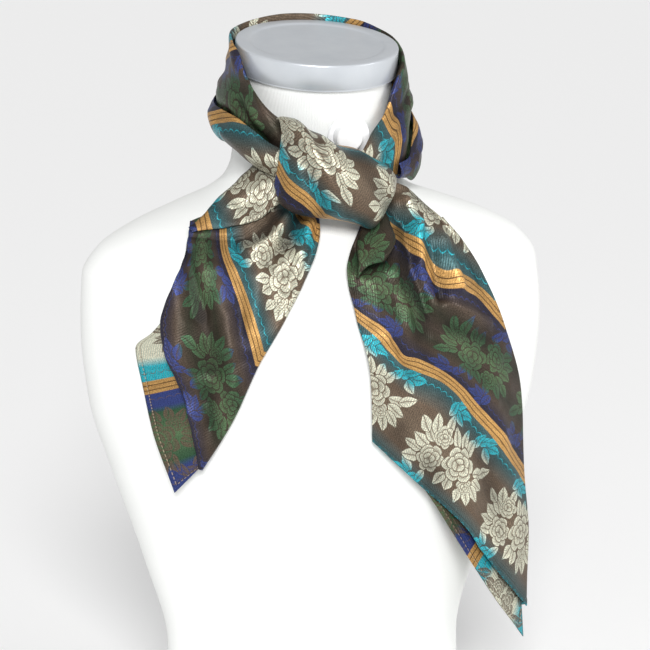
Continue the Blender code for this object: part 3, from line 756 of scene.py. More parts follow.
# %% The surface of a stretch that lies on a tail
ROLLED_EDGE, EDGE_DROP = 3.0, 0.9
DEEPEST_CREASE = 0.4
RISE_SHADE, ROLL_SHADE = 0.6, 1.5      # painted highlight that a rise adds to the relief, and painted shade that a rolled edge adds
GATHER_SHADE = 1.8        # millimetres of relief taken off: painted shade under the knot


def lapped_surface(rows, folds, creases, below, below_creases, below_seed, sway=0.0, across=40, along=90):
    """Straight sections between two edges, standing off the tail by one layer plus the folds, and by less
    within 3 mm of an edge, where the drop grows as the square of the way to the edge. Towards its end
    the stretch may sway: each section bends into one wave, more with the fourth power of the way.
    Returns the grid and its relief, with a painted highlight on rises and painted shade along the rolled
    edges."""
    knots = np.arange(len(rows["first_x"]), dtype=float)
    columns = stations(rows, "first_x first_z first_rise second_x second_z second_rise")
    at, places = spread(knots, along, columns)
    share = np.linspace(0, 1, across)[None]
    x, z, rise = [first[:, None] + (second - first)[:, None] * share
                  for first, second in zip(places.T[:3], places.T[3:])]
    run_x, run_z = (places[:, 3] - places[:, 0])[:, None], (places[:, 4] - places[:, 1])[:, None]
    width = np.hypot(run_x, run_z)
    wave = sway * np.sin(2 * math.pi * share) * (at[:, None] / at[-1]) ** 4
    x, z = x - wave * run_z / width, z + wave * run_x / width
    edge = np.clip(1 - np.minimum(share, 1 - share) * width / ROLLED_EDGE, 0, 1)
    extra = fold_height(below_creases, x, z) + slack(x, z, 1.0, below_seed)
    front = layer_lifts(below, x, z, np.maximum(extra, 0))[1]
    creased = fold_height(creases, x, z)
    fine = np.maximum(fold_height(folds, x, z), 0) + np.maximum(creased, -DEEPEST_CREASE)
    over = LAYER_STEP + EDGE_DROP * (1 - edge**2) + fine
    # the relief paints a highlight on rises and shade along the rolled edges
    return on_drape(x, z, front + over + rise), creased + RISE_SHADE * rise - ROLL_SHADE * edge


def flat_place(points, directions, first_stripe, first_motif, fullness=1.0, pulls=NO_PULLS):
    """A grid's place on the flat cloth. The stripes lie at an angle to the grid's first running length, and
    the angle may turn along it: across the stripes is the running sum of the sine along the first
    length, plus the second length times the cosine; along them is the same with cosine and less sine.
    directions are pairs of a first length and its angle in degrees. fullness is how much cloth is
    gathered into the width that shows."""
    first, second = lengths(points, 0), lengths(points, 1)
    second = second - second[:, second.shape[1] // 2][:, None]
    run = np.mean(first, 1)
    knots, angles = np.array(directions, float).T
    turn = np.radians(np.interp(run, knots, angles))
    step = np.diff(run, prepend=run[0])
    sine, cosine = np.sin(turn)[:, None], np.cos(turn)[:, None]
    across = (np.cumsum(step * np.sin(turn))[:, None] + second * cosine) * fullness + first_stripe
    along = np.cumsum(step * np.cos(turn))[:, None] - second * sine + first_motif
    return across + pulled(pulls, run[:, None] + 0 * second, second), along


flap_points, flap_relief = lapped_surface(FLAP, FLAP_FOLDS, FLAP_CREASES, TAIL_LEFT_FOLDS, TAIL_LEFT_CREASES,
                                          LEFT_SEED)
flap_place = flat_place(flap_points, [(0, -103)], first_stripe=152, first_motif=-8)
flap = make_sheet("tail_left_flap_silk", flap_points, *flap_place, flap_relief)

gather_points, gather_relief = lapped_surface(GATHER, GATHER_FOLDS, GATHER_CREASES, TAIL_RIGHT_FOLDS,
                                              TAIL_RIGHT_CREASES, RIGHT_SEED, sway=3.4)
gather_place = flat_place(gather_points, [(0, 80)], first_stripe=10, first_motif=10)
# the gathered stretch gets painted shade all over, as it lies under the knot
gather = make_sheet("tail_right_fold_silk", gather_points, *gather_place, gather_relief - GATHER_SHADE)


# %% [markdown]
# ## The stretches round the neck
#
# Round the neck the cloth is rolled into two soft stretches, one inside the other. Each is a profile of
# radius and height, carried round by its bearing. The neckline turns in behind its rim, and the outer
# roll's lower edge turns in towards the neck.

# %% The surface of a stretch round the neck
UPPER_PROFILE = (("rim", 2.0, -6.0), ("rim", 0, 0), ("ridge", 0, 0), ("belly", 0, 0), ("low", 0, 0))
LOWER_PROFILE = (("top", 0, 0), ("crest", 0, 0), ("belly", 0, 0), ("foot", 0, 0), ("foot", 3.0, 2.0))
RING_RADIUS = 70.0
DEGREE_LENGTH = 1.2       # millimetres of cloth in about one degree round the neck
UPPER_SHADE = 1.6         # the upper stretch's folds count more in its relief, for stronger painted shade and highlight, as they shade each other
UPPER_SEED, LOWER_SEED = 21, 22


def ring_fold_height(folds, bearing, height):
    """Folds round the neck, laid out flat with the bearing as a distance along the ring."""
    arc = math.radians(1) * RING_RADIUS
    flat = {"from_x": folds["from_bearing"] * arc, "to_x": folds["to_bearing"] * arc,
            "from_z": folds["from_z"], "to_z": folds["to_z"],
            "height": folds["height"], "width": folds["width"]}
    return fold_height(flat, bearing * arc, height)


def ring_surface(rows, profile, folds, creases, seed, sections=56, around=260):
    """A smooth profile of radius and height carried round by bearing: x is radius times sine, y the
    centre line less radius times cosine. Creases fade out at both edges, by the root of a half sine.
    Returns the grid, the way outwards at each point, and the relief."""
    radius = np.stack([rows[name + "_r"] - inward for name, inward, rise in profile], -1)
    height = np.stack([rows[name + "_z"] + rise for name, inward, rise in profile], -1)
    at, radius = spread(-rows["bearing"], around, radius)
    at, height = spread(-rows["bearing"], around, height)
    radius, height = along_rows(radius, sections), along_rows(height, sections)
    bearing = -at[:, None] + 0 * height
    inside = np.sin(np.linspace(0, math.pi, sections))[None] ** 0.5
    fine = ring_fold_height(creases, bearing, height) + slack(bearing * DEGREE_LENGTH, height, 0.5, seed)
    folded = ring_fold_height(folds, bearing, height)
    radius = radius + folded + fine * inside
    angle = np.radians(bearing)
    x = radius * np.sin(angle)
    y = neck_centre(height) - radius * np.cos(angle)
    outward = np.stack([np.sin(angle), -np.cos(angle), 0 * angle], -1)
    return np.stack([x, y, height], -1), outward, folded + fine


UPPER_TURNS = [(0, -46), (60, -46), (108, -28), (150, -30), (190, -40), (215, -70), (250, -50), (300, -28),
               (360, -80), (390, -100), (420, -105)]
upper_points, upper_out, upper_relief = ring_surface(WRAP_UPPER, UPPER_PROFILE, WRAP_UPPER_FOLDS,
                                                     WRAP_UPPER_CREASES, UPPER_SEED)
upper_place = flat_place(upper_points, UPPER_TURNS, first_stripe=90.5, first_motif=-22, pulls=UPPER_PULLS)
# the upper stretch's relief is strengthened, for stronger painted shade and highlight in its folds
wrap_upper = make_sheet("wrap_upper_silk", upper_points, *upper_place, upper_relief * UPPER_SHADE,
                        outward=upper_out)

LOWER_TURNS = [(0, -22), (100, -22), (130, -14.6), (310, -14.5)]
lower_points, lower_out, lower_relief = ring_surface(WRAP_LOWER, LOWER_PROFILE, WRAP_LOWER_FOLDS,
                                                     WRAP_LOWER_CREASES, LOWER_SEED)
lower_place = flat_place(lower_points, LOWER_TURNS, first_stripe=128.0, first_motif=55)
wrap_lower = make_sheet("wrap_lower_silk", lower_points, *lower_place, lower_relief, outward=lower_out)


# %% [markdown]
# ## The knot
#
# The broad stretch that covers the knot bulges forward. Each of its sections is an arc from its top edge
# over its crown to its foot, and both edges turn in behind, so the cloth looks tucked and not cut off.

# %% The surface of the knot
KNOT_ROUNDNESS = 0.8
KNOT_SEED = 31


def knot_surface(across=100, along=120):
    """Sections from -20 to 200 degrees of an arc: the share down is (1 - cosine) / 2, and the bulge is the
    sine to the power of the roundness, or a shallow turn inwards past the two edges. Returns the grid
    and its relief."""
    rows = spread(np.arange(len(KNOT["top_x"]), dtype=float), along, stations(KNOT, " ".join(KNOT)))[1]
    row = {key: column[:, None] for key, column in zip(KNOT, rows.T)}
    turn = np.radians(np.linspace(-20, 200, across))[None]
    share = (1 - np.cos(turn)) / 2
    x = row["top_x"] + (row["foot_x"] - row["top_x"]) * share
    z = row["top_z"] + (row["foot_z"] - row["top_z"]) * share
    sine = np.sin(turn)
    bulge = np.where(sine > 0, np.abs(sine) ** KNOT_ROUNDNESS, -0.35 * np.abs(sine))
    rim = row["top_y"] + (row["foot_y"] - row["top_y"]) * share
    y = rim + (row["crown_y"] - rim) * bulge
    fold = fold_height(KNOT_FOLDS, x, z) + fold_height(KNOT_CREASES, x, z) + slack(x, z, 0.4, KNOT_SEED)
    y -= fold * np.clip(sine, 0, 1)
    return np.stack([x, y, z], -1), fold


knot_grid, knot_relief = knot_surface()
KNOT_TURNS = [(0, -20), (32, -20), (42, -42), (55, -30), (70, -8), (120, 0)]
knot_place = flat_place(knot_grid, KNOT_TURNS, first_stripe=-9.5, first_motif=55, fullness=1.10)
knot = make_sheet("knot_band_silk", knot_grid, *knot_place, knot_relief)

# %% [markdown]
# ## The dress form
#
# The form is a plain tabletop bust under knitted cotton, closed at the neck by a silver cap. Its body is a
# stack of level ellipses, blunter at the back, whose top leans forward with the cap.

# %% The bust and neck
SHARP_DEGREES = 50        # edges that turn more than this stay sharp


def form_rings(around=160):
    """Level ellipses at each height, closer where the shoulders turn into the neck, with their own depth
    to the front and back, and a last ring 0.3 mm under the leaning cap and 3 mm inside its edge."""
    heights = np.concatenate([np.linspace(0, 340, 60), np.linspace(342, 416, 40), np.linspace(418, 460, 20)])
    turn = np.linspace(0, 2 * math.pi, around, endpoint=False)
    size = {key: flow(heights, FORM["height"], FORM[key])[:, None] for key in FORM if key != "height"}
    depth = np.where(np.cos(turn)[None] > 0, size["front"], size["back"])
    x = size["half_width"] * np.sin(turn)
    y = size["centre"] - depth * np.cos(turn)
    z = np.broadcast_to(heights[:, None], x.shape)
    lean = math.radians(CAP_LEAN)
    drop = (CAP_BAND + 0.3) * np.array([-math.sin(lean), math.cos(lean)])
    radius = CAP_RADIUS - 3
    top_y = -CAP_FORWARD - drop[0] - radius * np.cos(turn) * math.cos(lean)
    top_z = CAP_TOP - drop[1] - radius * np.cos(turn) * math.sin(lean)
    rings = np.stack([x, y, z], -1)
    top = np.stack([radius * np.sin(turn), top_y, top_z], -1)
    return np.concatenate([rings, top[None]])


def closed_stack(name, rings):
    """A closed mesh from rings of points, with a flat face at each end."""
    rows, around = rings.shape[:2]
    faces = grid_faces(rows, around, closed=True).tolist()
    ends = np.arange(rows * around).reshape(rows, around)
    faces += [ends[-1].tolist(), ends[0][::-1].tolist()]
    piece = add_mesh(name, rings, faces)
    piece.data.set_sharp_from_angle(angle=math.radians(SHARP_DEGREES))
    return piece


form_body = closed_stack("form_body_knit", form_rings())
print("form body:", len(form_body.data.polygons), "faces")


# %% The neck cap and the dial
DIAL_HEIGHT, DIAL_BEARING, DIAL_LEAN, DIAL_SEAT = 440.0, 4.0, 6.0, 51.0
KNOB_RADIUS, KNOB_LENGTH, DIAL_BASE_RADIUS, DIAL_BASE_LENGTH = 10.0, 9.0, 16.0, 2.4
BASE_ASIDE, BASE_BELOW = 3.0, 2.0      # how far the base's middle lies from the knob's
DIAL_GAP = 0.3                         # between base and knob


def placed(offset):
    """The matrix of a step in millimetres."""
    return Matrix.Translation([value * MM for value in offset])


def corner_arc(radius, height, corner, steps=6):
    """Profile points of a rounded outer corner: a quarter circle from the flat top to the round side."""
    turn = np.linspace(0, math.pi / 2, steps + 1)
    return np.stack([radius - corner + corner * np.sin(turn), height - corner * (1 - np.cos(turn))], -1)


def turned(name, profile, matrix, around=128):
    """A profile of (radius, height) spun round the Z axis, closed by a face at each end, then placed by a
    matrix that goes into the mesh."""
    profile = np.asarray(profile, float)
    turn = np.linspace(0, 2 * math.pi, around, endpoint=False)
    rings = np.stack([profile[:, :1] * np.cos(turn), profile[:, :1] * np.sin(turn),
                      np.broadcast_to(profile[:, 1:], (len(profile), around))], -1)
    piece = closed_stack(name, rings[::-1])
    piece.data.transform(matrix)
    return piece


leaning = placed((0, -CAP_FORWARD, CAP_TOP)) @ Matrix.Rotation(math.radians(CAP_LEAN), 4, "X")
cap_profile = np.concatenate([
    [(0.5, -0.9), (CAP_RADIUS - 12, -0.9), (CAP_RADIUS - 11, -0.85), (CAP_RADIUS - 10, -0.4)],
    [(CAP_RADIUS - 9, -0.05), (CAP_RADIUS - 8, 0)],
    corner_arc(CAP_RADIUS, 0, 1.5),
    [(CAP_RADIUS, -CAP_BAND + 1.5), (CAP_RADIUS - 0.25, -CAP_BAND + 1.2), (CAP_RADIUS - 0.25, -CAP_BAND)],
    [(CAP_RADIUS - 6, -CAP_BAND), (0.5, -CAP_BAND)],
])
form_cap = turned("form_cap_silver", cap_profile, leaning)

bearing = math.radians(DIAL_BEARING)
outward = (math.sin(bearing), -math.cos(bearing))
face = Matrix.Rotation(bearing, 4, "Z") @ Matrix.Rotation(math.radians(90 + DIAL_LEAN), 4, "X")
seat = placed((outward[0] * DIAL_SEAT + BASE_ASIDE, outward[1] * DIAL_SEAT, DIAL_HEIGHT - BASE_BELOW))
seated = seat @ face
base_profile = np.concatenate([
    [(0.3, DIAL_BASE_LENGTH)],
    corner_arc(DIAL_BASE_RADIUS, DIAL_BASE_LENGTH, 0.8),
    [(DIAL_BASE_RADIUS, 0), (0.3, 0)],
])
dial_base = turned("form_dial_base_plastic", base_profile, seated, 96)
knob_profile = np.concatenate([
    [(0.3, KNOB_LENGTH)],
    corner_arc(KNOB_RADIUS, KNOB_LENGTH, 2.0),
    [(KNOB_RADIUS - 0.5, 0), (0.3, 0)],
])
on_base = placed((-BASE_ASIDE, BASE_BELOW, DIAL_BASE_LENGTH + DIAL_GAP))
dial_knob = turned("form_dial_knob_plastic", knob_profile, seated @ on_base, 96)
print("cap and dial made, the cap", len(form_cap.data.polygons), "faces")

# %% Name the piece that stands for each solid
STANDS_FOR = {
    "wrap_upper": wrap_upper,
    "wrap_lower": wrap_lower,
    "knot_band": knot,
    "tail_left": tail_left,
    "tail_right": tail_right,
    "tail_left_flap": flap,
    "tail_right_fold": gather,
    "form_body": form_body,
    "form_cap": form_cap,
    "form_dial_base": dial_base,
    "form_dial_knob": dial_knob,
}
for node, piece in STANDS_FOR.items():
    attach(piece, "root")
    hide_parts(node)

SHEETS = {
    "wrap_upper": dict(held="folded", flat=(0.060, 0.405), rests_on=["form_body"]),
    "wrap_lower": dict(held="folded", flat=(0.036, 0.407), rests_on=["form_body", "wrap_upper"]),
    "knot_band": dict(held="gathered", flat=(0.088, 0.100), rests_on=["wrap_lower", "wrap_upper"]),
    "tail_left": dict(held="draped", flat=(0.180, 0.220), area=0.0244, rests_on=["form_body"]),
    "tail_right": dict(held="draped", flat=(0.203, 0.337), area=0.0550, rests_on=["form_body"]),
    "tail_left_flap": dict(held="folded", flat=(0.022, 0.090), rests_on=["tail_left"]),
    "tail_right_fold": dict(held="gathered", flat=(0.028, 0.045), rests_on=["tail_right"]),
}
for node, cut in SHEETS.items():
    area = sum(polygon.area for polygon in STANDS_FOR[node].data.polygons)
    print(node, "is", round(area * 1e4), "square cm of cloth, cut", cut["flat"])

# %% [markdown]
# ## Helpers for materials
#
# A material is a tree of small nodes. Most of this cloth's drawing is arithmetic on its place, so a few
# short helpers keep the tree readable. One puts a number or a link into a socket, one adds a Math node, one
# mixes two numbers or colours, and one draws a thin line. Where a result has to stay between 0 and 1, a
# Clamp node of its own holds it there. A node group is made once and used many times, as a stamp is.
#
# The renderer can hold only so many unfinished results at once. A large tree that asks for more turns black,
# so the order in which these functions add their nodes matters, and inner shapes are kept in small groups.

# %% Node helpers
def wire(tree, value, socket):
    """Put a number or a colour into a socket, or lead another node's output to it."""
    if isinstance(value, bpy.types.NodeSocket):
        tree.links.new(value, socket)
    else:
        socket.default_value = value


def calc(tree, operation, *values, clamp=False):
    """One Math node: the operation's result as a socket, held between 0 and 1 by a Clamp node where clamp
    is set."""
    node = tree.nodes.new("ShaderNodeMath")
    node.operation = operation
    for value, socket in zip(values, node.inputs):
        wire(tree, value, socket)
    if not clamp:
        return node.outputs[0]
    held = tree.nodes.new("ShaderNodeClamp")
    wire(tree, node.outputs[0], held.inputs["Value"])
    return held.outputs[0]


MIX_SOCKETS = {"FLOAT": (2, 3, 0), "RGBA": (6, 7, 2)}      # two inputs and the output, for each kind


def mix(tree, amount, first, second, kind="FLOAT"):
    """The first value where amount is 0, the second where it is 1, and a blend between."""
    node = tree.nodes.new("ShaderNodeMix")
    node.data_type = kind
    one, other, result = MIX_SOCKETS[kind]
    wire(tree, amount, node.inputs[0])
    wire(tree, first, node.inputs[one])
    wire(tree, second, node.inputs[other])
    return node.outputs[result]


def thin_line(tree, value, middle, sharpness, level):
    """1 where a value is near the middle and 0 away from it: level - sharpness |value - middle|, held
    between 0 and 1."""
    away = calc(tree, "ABSOLUTE", calc(tree, "SUBTRACT", value, middle))
    return calc(tree, "MULTIPLY_ADD", away, -sharpness, level, clamp=True)


def combine(tree, x, y, z=0.0):
    """Three numbers as one vector."""
    node = tree.nodes.new("ShaderNodeCombineXYZ")
    for value, socket in zip((x, y, z), node.inputs):
        wire(tree, value, socket)
    return node.outputs[0]


def separate(tree, vector):
    """A vector's first two numbers."""
    node = tree.nodes.new("ShaderNodeSeparateXYZ")
    wire(tree, vector, node.inputs[0])
    return node.outputs[0], node.outputs[1]


def noise(tree, vector, scale, output="Fac"):
    """Soft random values between 0 and 1, with spots of about one over scale; the output Color gives
    three of them at once."""
    node = tree.nodes.new("ShaderNodeTexNoise")
    node.inputs["Scale"].default_value = scale
    wire(tree, vector, node.inputs["Vector"])
    return node.outputs[output]


def rgb(red, green, blue):
    """A colour as a screen shows it, from 0 to 255, as Blender's linear numbers."""
    share = np.array([red, green, blue]) / 255
    linear = np.where(share <= 0.04045, share / 12.92, ((share + 0.055) / 1.055) ** 2.4)
    return (*linear.tolist(), 1.0)


def colour_steps(tree, value, *stops):
    """A colour ramp: value runs from 0 to 1 through stops of (position, colour)."""
    node = tree.nodes.new("ShaderNodeValToRGB")
    ramp = node.color_ramp
    while len(ramp.elements) < len(stops):
        ramp.elements.new(0.5)
    for element, (position, colour) in zip(ramp.elements, stops):
        element.position = position
        element.color = colour
    wire(tree, value, node.inputs[0])
    return node.outputs[0]


print("a mid grey on the screen is", round(rgb(128, 128, 128)[0], 3), "in linear numbers")


# %% [markdown]
# ## One leaf as a stamp
#
# In a jacquard cloth the coloured weft lies on top where the drawing is, and sinks where it isn't. So each
# stamp takes the share of coloured weft so far, lays its own leaf or flower over it, and hands the share on.
# Around every leaf the weft sinks for a thread or two, which leaves the dark outline that the real cloth
# has. The same goes for the middle rib and the side veins.

# %% The leaf stamp
def new_stamp(name):
    """A node group that takes a place and a share of weft, and a centre, turn and size for its shape."""
    tree = bpy.data.node_groups.new(name, "ShaderNodeTree")
    for label, kind in (("Place", "Vector"), ("Share", "Float"), ("Centre", "Vector"), ("Turn", "Float"),
                        ("Size", "Vector")):
        tree.interface.new_socket(label, in_out="INPUT", socket_type=f"NodeSocket{kind}")
    tree.interface.new_socket("Share", in_out="OUTPUT", socket_type="NodeSocketFloat")
    start = tree.nodes.new("NodeGroupInput").outputs
    turn = combine(tree, 0.0, 0.0, start["Turn"])
    local = tree.nodes.new("ShaderNodeMapping")
    local.vector_type = "TEXTURE"
    wire(tree, start["Place"], local.inputs["Vector"])
    wire(tree, start["Centre"], local.inputs["Location"])
    wire(tree, turn, local.inputs["Rotation"])
    wire(tree, start["Size"], local.inputs["Scale"])
    return tree, start, local.outputs[0]


def end_stamp(tree, share):
    """Lead the result out of the group."""
    wire(tree, share, tree.nodes.new("NodeGroupOutput").inputs["Share"])
    return tree


def leaf_stamp():
    """A leaf from -1 to 1: half as wide as (1 - x^2)(1 - 0.3 x), the second factor not under 0.5, with a
    rib where y is near 0 and side veins where 3.2 x - 1.5 |y| is near a half past a whole number. The
    weft is full along the edge and 0.65 of that inside."""
    tree, start, local = new_stamp("leaf stamp")
    x, y = separate(tree, local)
    aside = calc(tree, "ABSOLUTE", y)
    round_part = calc(tree, "SUBTRACT", 1.0, calc(tree, "MULTIPLY", x, x))
    taper = calc(tree, "MAXIMUM", calc(tree, "MULTIPLY_ADD", x, -0.3, 1.0), 0.5)
    width = calc(tree, "MULTIPLY", round_part, taper)
    depth = calc(tree, "SUBTRACT", width, aside)
    inside = calc(tree, "MULTIPLY", depth, 9.0, clamp=True)
    over = calc(tree, "MULTIPLY_ADD", depth, 9.0, 1.7, clamp=True)
    rib = calc(tree, "MULTIPLY", aside, 7.0, clamp=True)
    vein = calc(tree, "FRACT", calc(tree, "MULTIPLY_ADD", aside, -1.5, calc(tree, "MULTIPLY", x, 3.2)))
    vein = calc(tree, "ABSOLUTE", calc(tree, "SUBTRACT", vein, 0.5))
    vein = calc(tree, "MULTIPLY_ADD", vein, 5.0, 0.35, clamp=True)
    rim = calc(tree, "SUBTRACT", 1.0, calc(tree, "MULTIPLY_ADD", depth, 1.4, -0.25, clamp=True))
    body = calc(tree, "MULTIPLY_ADD", rim, 0.35, 0.65)
    filled = calc(tree, "MULTIPLY", inside, body)
    cover = calc(tree, "MULTIPLY", filled, calc(tree, "MULTIPLY", rib, vein))
    return end_stamp(tree, mix(tree, over, start["Share"], cover))


LEAF = leaf_stamp()
print("the leaf stamp has", len(LEAF.nodes), "nodes")


# %% [markdown]
# ## One flower as a stamp
#
# A full garden flower is drawn as rings of petals, each ring smaller than the one below it. In each ring the
# outline swings with the angle, which makes rounded petals with notched tips, and the weft sinks between
# two petals. Fine threads fade from a petal's tip to its foot, as in a shaded satin.

# %% The flower stamp
def petal_ring(tree, share, radius, angle, threads, petals, phase, reach):
    """One ring: c is the size of the cosine of half the petal count times the angle, and the edge lies
    at reach times (0.70 + 0.30 c^0.6), which rounds each petal and notches the ring between two. The
    weft fades from a petal's tip to its foot, thread by thread."""
    turn = calc(tree, "MULTIPLY_ADD", angle, petals / 2, phase)
    swing = calc(tree, "ABSOLUTE", calc(tree, "COSINE", turn))
    edge = calc(tree, "MULTIPLY_ADD", calc(tree, "POWER", swing, 0.6), 0.30 * reach, 0.70 * reach)
    depth = calc(tree, "SUBTRACT", edge, radius)
    inside = calc(tree, "MULTIPLY", depth, 24.0, clamp=True)
    over = calc(tree, "MULTIPLY_ADD", depth, 24.0, 1.5, clamp=True)
    parted = calc(tree, "MULTIPLY", calc(tree, "MULTIPLY", swing, radius), 11.0, clamp=True)
    at_tip = calc(tree, "MULTIPLY_ADD", threads, 0.9, 0.75)
    fade = calc(tree, "MULTIPLY_ADD", depth, -1.9, at_tip, clamp=True)
    cover = calc(tree, "MULTIPLY", calc(tree, "MULTIPLY", inside, parted), fade)
    return mix(tree, over, share, cover)


def flower_stamp():
    """A flower of radius 1: three rings of 6, 5 and 3 petals, shaded by threads 1/11 apart."""
    tree, start, local = new_stamp("flower stamp")
    x, y = separate(tree, local)
    squares = calc(tree, "ADD", calc(tree, "MULTIPLY", x, x), calc(tree, "MULTIPLY", y, y))
    radius = calc(tree, "SQRT", squares)
    angle = calc(tree, "ARCTAN2", y, x)
    threads = calc(tree, "PINGPONG", calc(tree, "MULTIPLY_ADD", y, 11.0, 40.0), 0.5)
    share = start["Share"]
    for petals, phase, reach in ((6, 0.2, 1.0), (5, 1.8, 0.70), (3, 0.4, 0.38)):
        share = petal_ring(tree, share, radius, angle, threads, petals, phase, reach)
    return end_stamp(tree, share)


FLOWER = flower_stamp()
print("the flower stamp has", len(FLOWER.nodes), "nodes")


# %% [markdown]
# ## The spray of flowers and leaves
#
# One repeat of the drawing is about 9 cm long and fits between two gold stripes, 8.7 cm apart. It holds two
# larger and two small flowers, with leaves round them and sprigs of leaves at the band's edges. The places
# are this lesson's own: an ordinary garden spray drawn for this cloth's scale. The neighbouring band has the
# same spray turned round.

# %% The spray
BAND = 8.7                # centimetres from one gold stripe's middle to the next
REPEAT = 9.2              # centimetres from one spray to the next along the stripes
LEAVES = table(
    "x y degrees half_length half_width",
    (3.20, 3.05, 75, 0.78, 0.38),
    (2.50, 2.75, 115, 0.72, 0.38),
    (3.25, 1.95, 40, 0.75, 0.38),
    (2.85, 1.30, 5, 0.75, 0.38),
    (3.55, 2.45, 60, 0.70, 0.36),
    (3.30, -0.95, 70, 0.72, 0.38),
    (2.75, -1.30, 110, 0.70, 0.36),
    (3.60, -1.70, 45, 0.72, 0.36),
    (2.95, -2.20, 10, 0.72, 0.38),
    (-3.20, -3.15, 255, 0.78, 0.38),
    (-3.60, -2.55, 240, 0.70, 0.36),
    (-2.50, -2.95, 295, 0.72, 0.38),
    (-3.25, -2.05, 220, 0.75, 0.38),
    (-2.75, -1.35, 190, 0.75, 0.38),
    (0.95, 2.75, 60, 0.85, 0.46),
    (0.20, 3.10, 85, 0.85, 0.46),
    (-0.55, 3.25, 110, 0.80, 0.43),
    (1.45, 3.35, 45, 0.80, 0.43),
    (-1.35, 2.85, 140, 0.80, 0.43),
    (-1.75, 2.05, 165, 0.75, 0.41),
    (-1.55, 0.95, 165, 0.80, 0.43),
    (-1.70, 0.15, 195, 0.80, 0.43),
    (2.05, 0.95, 10, 0.80, 0.46),
    (2.05, 0.10, -15, 0.80, 0.43),
    (1.65, -0.70, -40, 0.75, 0.41),
    (2.05, -1.75, -5, 0.70, 0.38),
    (-1.75, -3.05, 235, 0.80, 0.43),
    (-0.95, -3.35, 258, 0.80, 0.43),
    (-0.15, -3.15, 280, 0.85, 0.46),
    (0.65, -2.85, 300, 0.85, 0.46),
    (1.45, -2.85, 318, 0.80, 0.43),
    (0.95, -3.65, 295, 0.70, 0.41),
)
FLOWERS = table(
    "x y degrees radius",
    (-0.75, 2.10, 140, 0.70),
    (1.05, -1.75, 20, 0.80),
    (-0.95, -1.55, 65, 1.20),
    (0.30, 0.65, 0, 1.45),
)


def stamped(tree, stamp, place, share, x, y, degrees, size):
    """Use a stamp once: its share of weft after the shape has been laid over what was there."""
    node = tree.nodes.new("ShaderNodeGroup")
    node.node_tree = stamp
    wire(tree, place, node.inputs["Place"])
    wire(tree, share, node.inputs["Share"])
    node.inputs["Centre"].default_value = (x, y, 0)
    node.inputs["Turn"].default_value = math.radians(degrees)
    node.inputs["Size"].default_value = (*size, 1)
    return node.outputs["Share"]


def spray_group():
    """The whole spray: every leaf, then every flower over them, from a place inside one repeat."""
    tree = bpy.data.node_groups.new("flower spray", "ShaderNodeTree")
    tree.interface.new_socket("Place", in_out="INPUT", socket_type="NodeSocketVector")
    tree.interface.new_socket("Share", in_out="OUTPUT", socket_type="NodeSocketFloat")
    place = tree.nodes.new("NodeGroupInput").outputs["Place"]
    share = 0.0
    for x, y, degrees, length, width in zip(*LEAVES.values()):
        share = stamped(tree, LEAF, place, share, x, y, degrees, (length, width))
    for x, y, degrees, radius in zip(*FLOWERS.values()):
        share = stamped(tree, FLOWER, place, share, x, y, degrees, (radius, radius))
    wire(tree, share, tree.nodes.new("NodeGroupOutput").inputs["Share"])
    return tree


SPRAY = spray_group()
print("one repeat holds", len(LEAVES["x"]), "leaves and", len(FLOWERS["x"]), "flowers")


# %% [markdown]
# ## The silk
#
# The bands come in two colourings that take turns. One runs from navy at its edges to dark brown, with blue
# leaves and green flowers, and the other from dark teal to taupe, with bright teal leaves and cream flowers.
# The colour of the weft changes with the place in the band and not with the shape it draws, so both ground
# and drawing are colour ramps of the distance from the band's middle. The gold stripes between the bands
# have two thin dark lines, and a scalloped line runs along each band's edge.

# %% Colours of the silk
SILK = {
    "taupe": rgb(116, 100, 84),
    "taupe shade": rgb(100, 84, 70),
    "dark teal": rgb(44, 84, 90),
    "slate teal": rgb(70, 98, 100),
    "bright teal": rgb(0, 170, 188),
    "pale teal": rgb(104, 152, 146),
    "cream": rgb(228, 220, 196),
    "dark brown": rgb(72, 60, 52),
    "moss brown": rgb(48, 46, 36),
    "navy": rgb(42, 40, 58),
    "blue": rgb(52, 64, 118),
    "green": rgb(86, 112, 78),
    "deep green": rgb(50, 82, 58),
    "gold": rgb(200, 158, 96),
    "old gold": rgb(150, 110, 62),
    "gold line": rgb(62, 42, 28),
}
print("silk colours:", ", ".join(SILK))


# %% The woven drawing as a node group
WHOLE_REPEATS = 40        # added before a count, so that it never falls below 0
BAND_SHIFT = 2.7          # centimetres along the stripes between one band's sprays and the next band's
DRIFT_SIZE, DRIFT = 0.8, 0.5           # a slow noise moves the drawing a little, as a hand would
SCALLOP_STEP, SCALLOP_PLACE, SCALLOP_DEPTH = 0.66, 3.12, 0.2
HATCH_SLANT, HATCHES = 0.35, 5.5       # the slant of the lines of weft, and their number in a centimetre
STREAKS, STREAK_STRETCH = 22.0, 0.8    # streaks of warp: the noise's scale across them and along them
LINE_EDGE = 30.0          # a woven line's edge ends within a thirtieth of a centimetre
STRIPE_LEVEL = 16.6       # so a gold stripe ends 16.6 thirtieths of a centimetre from its middle


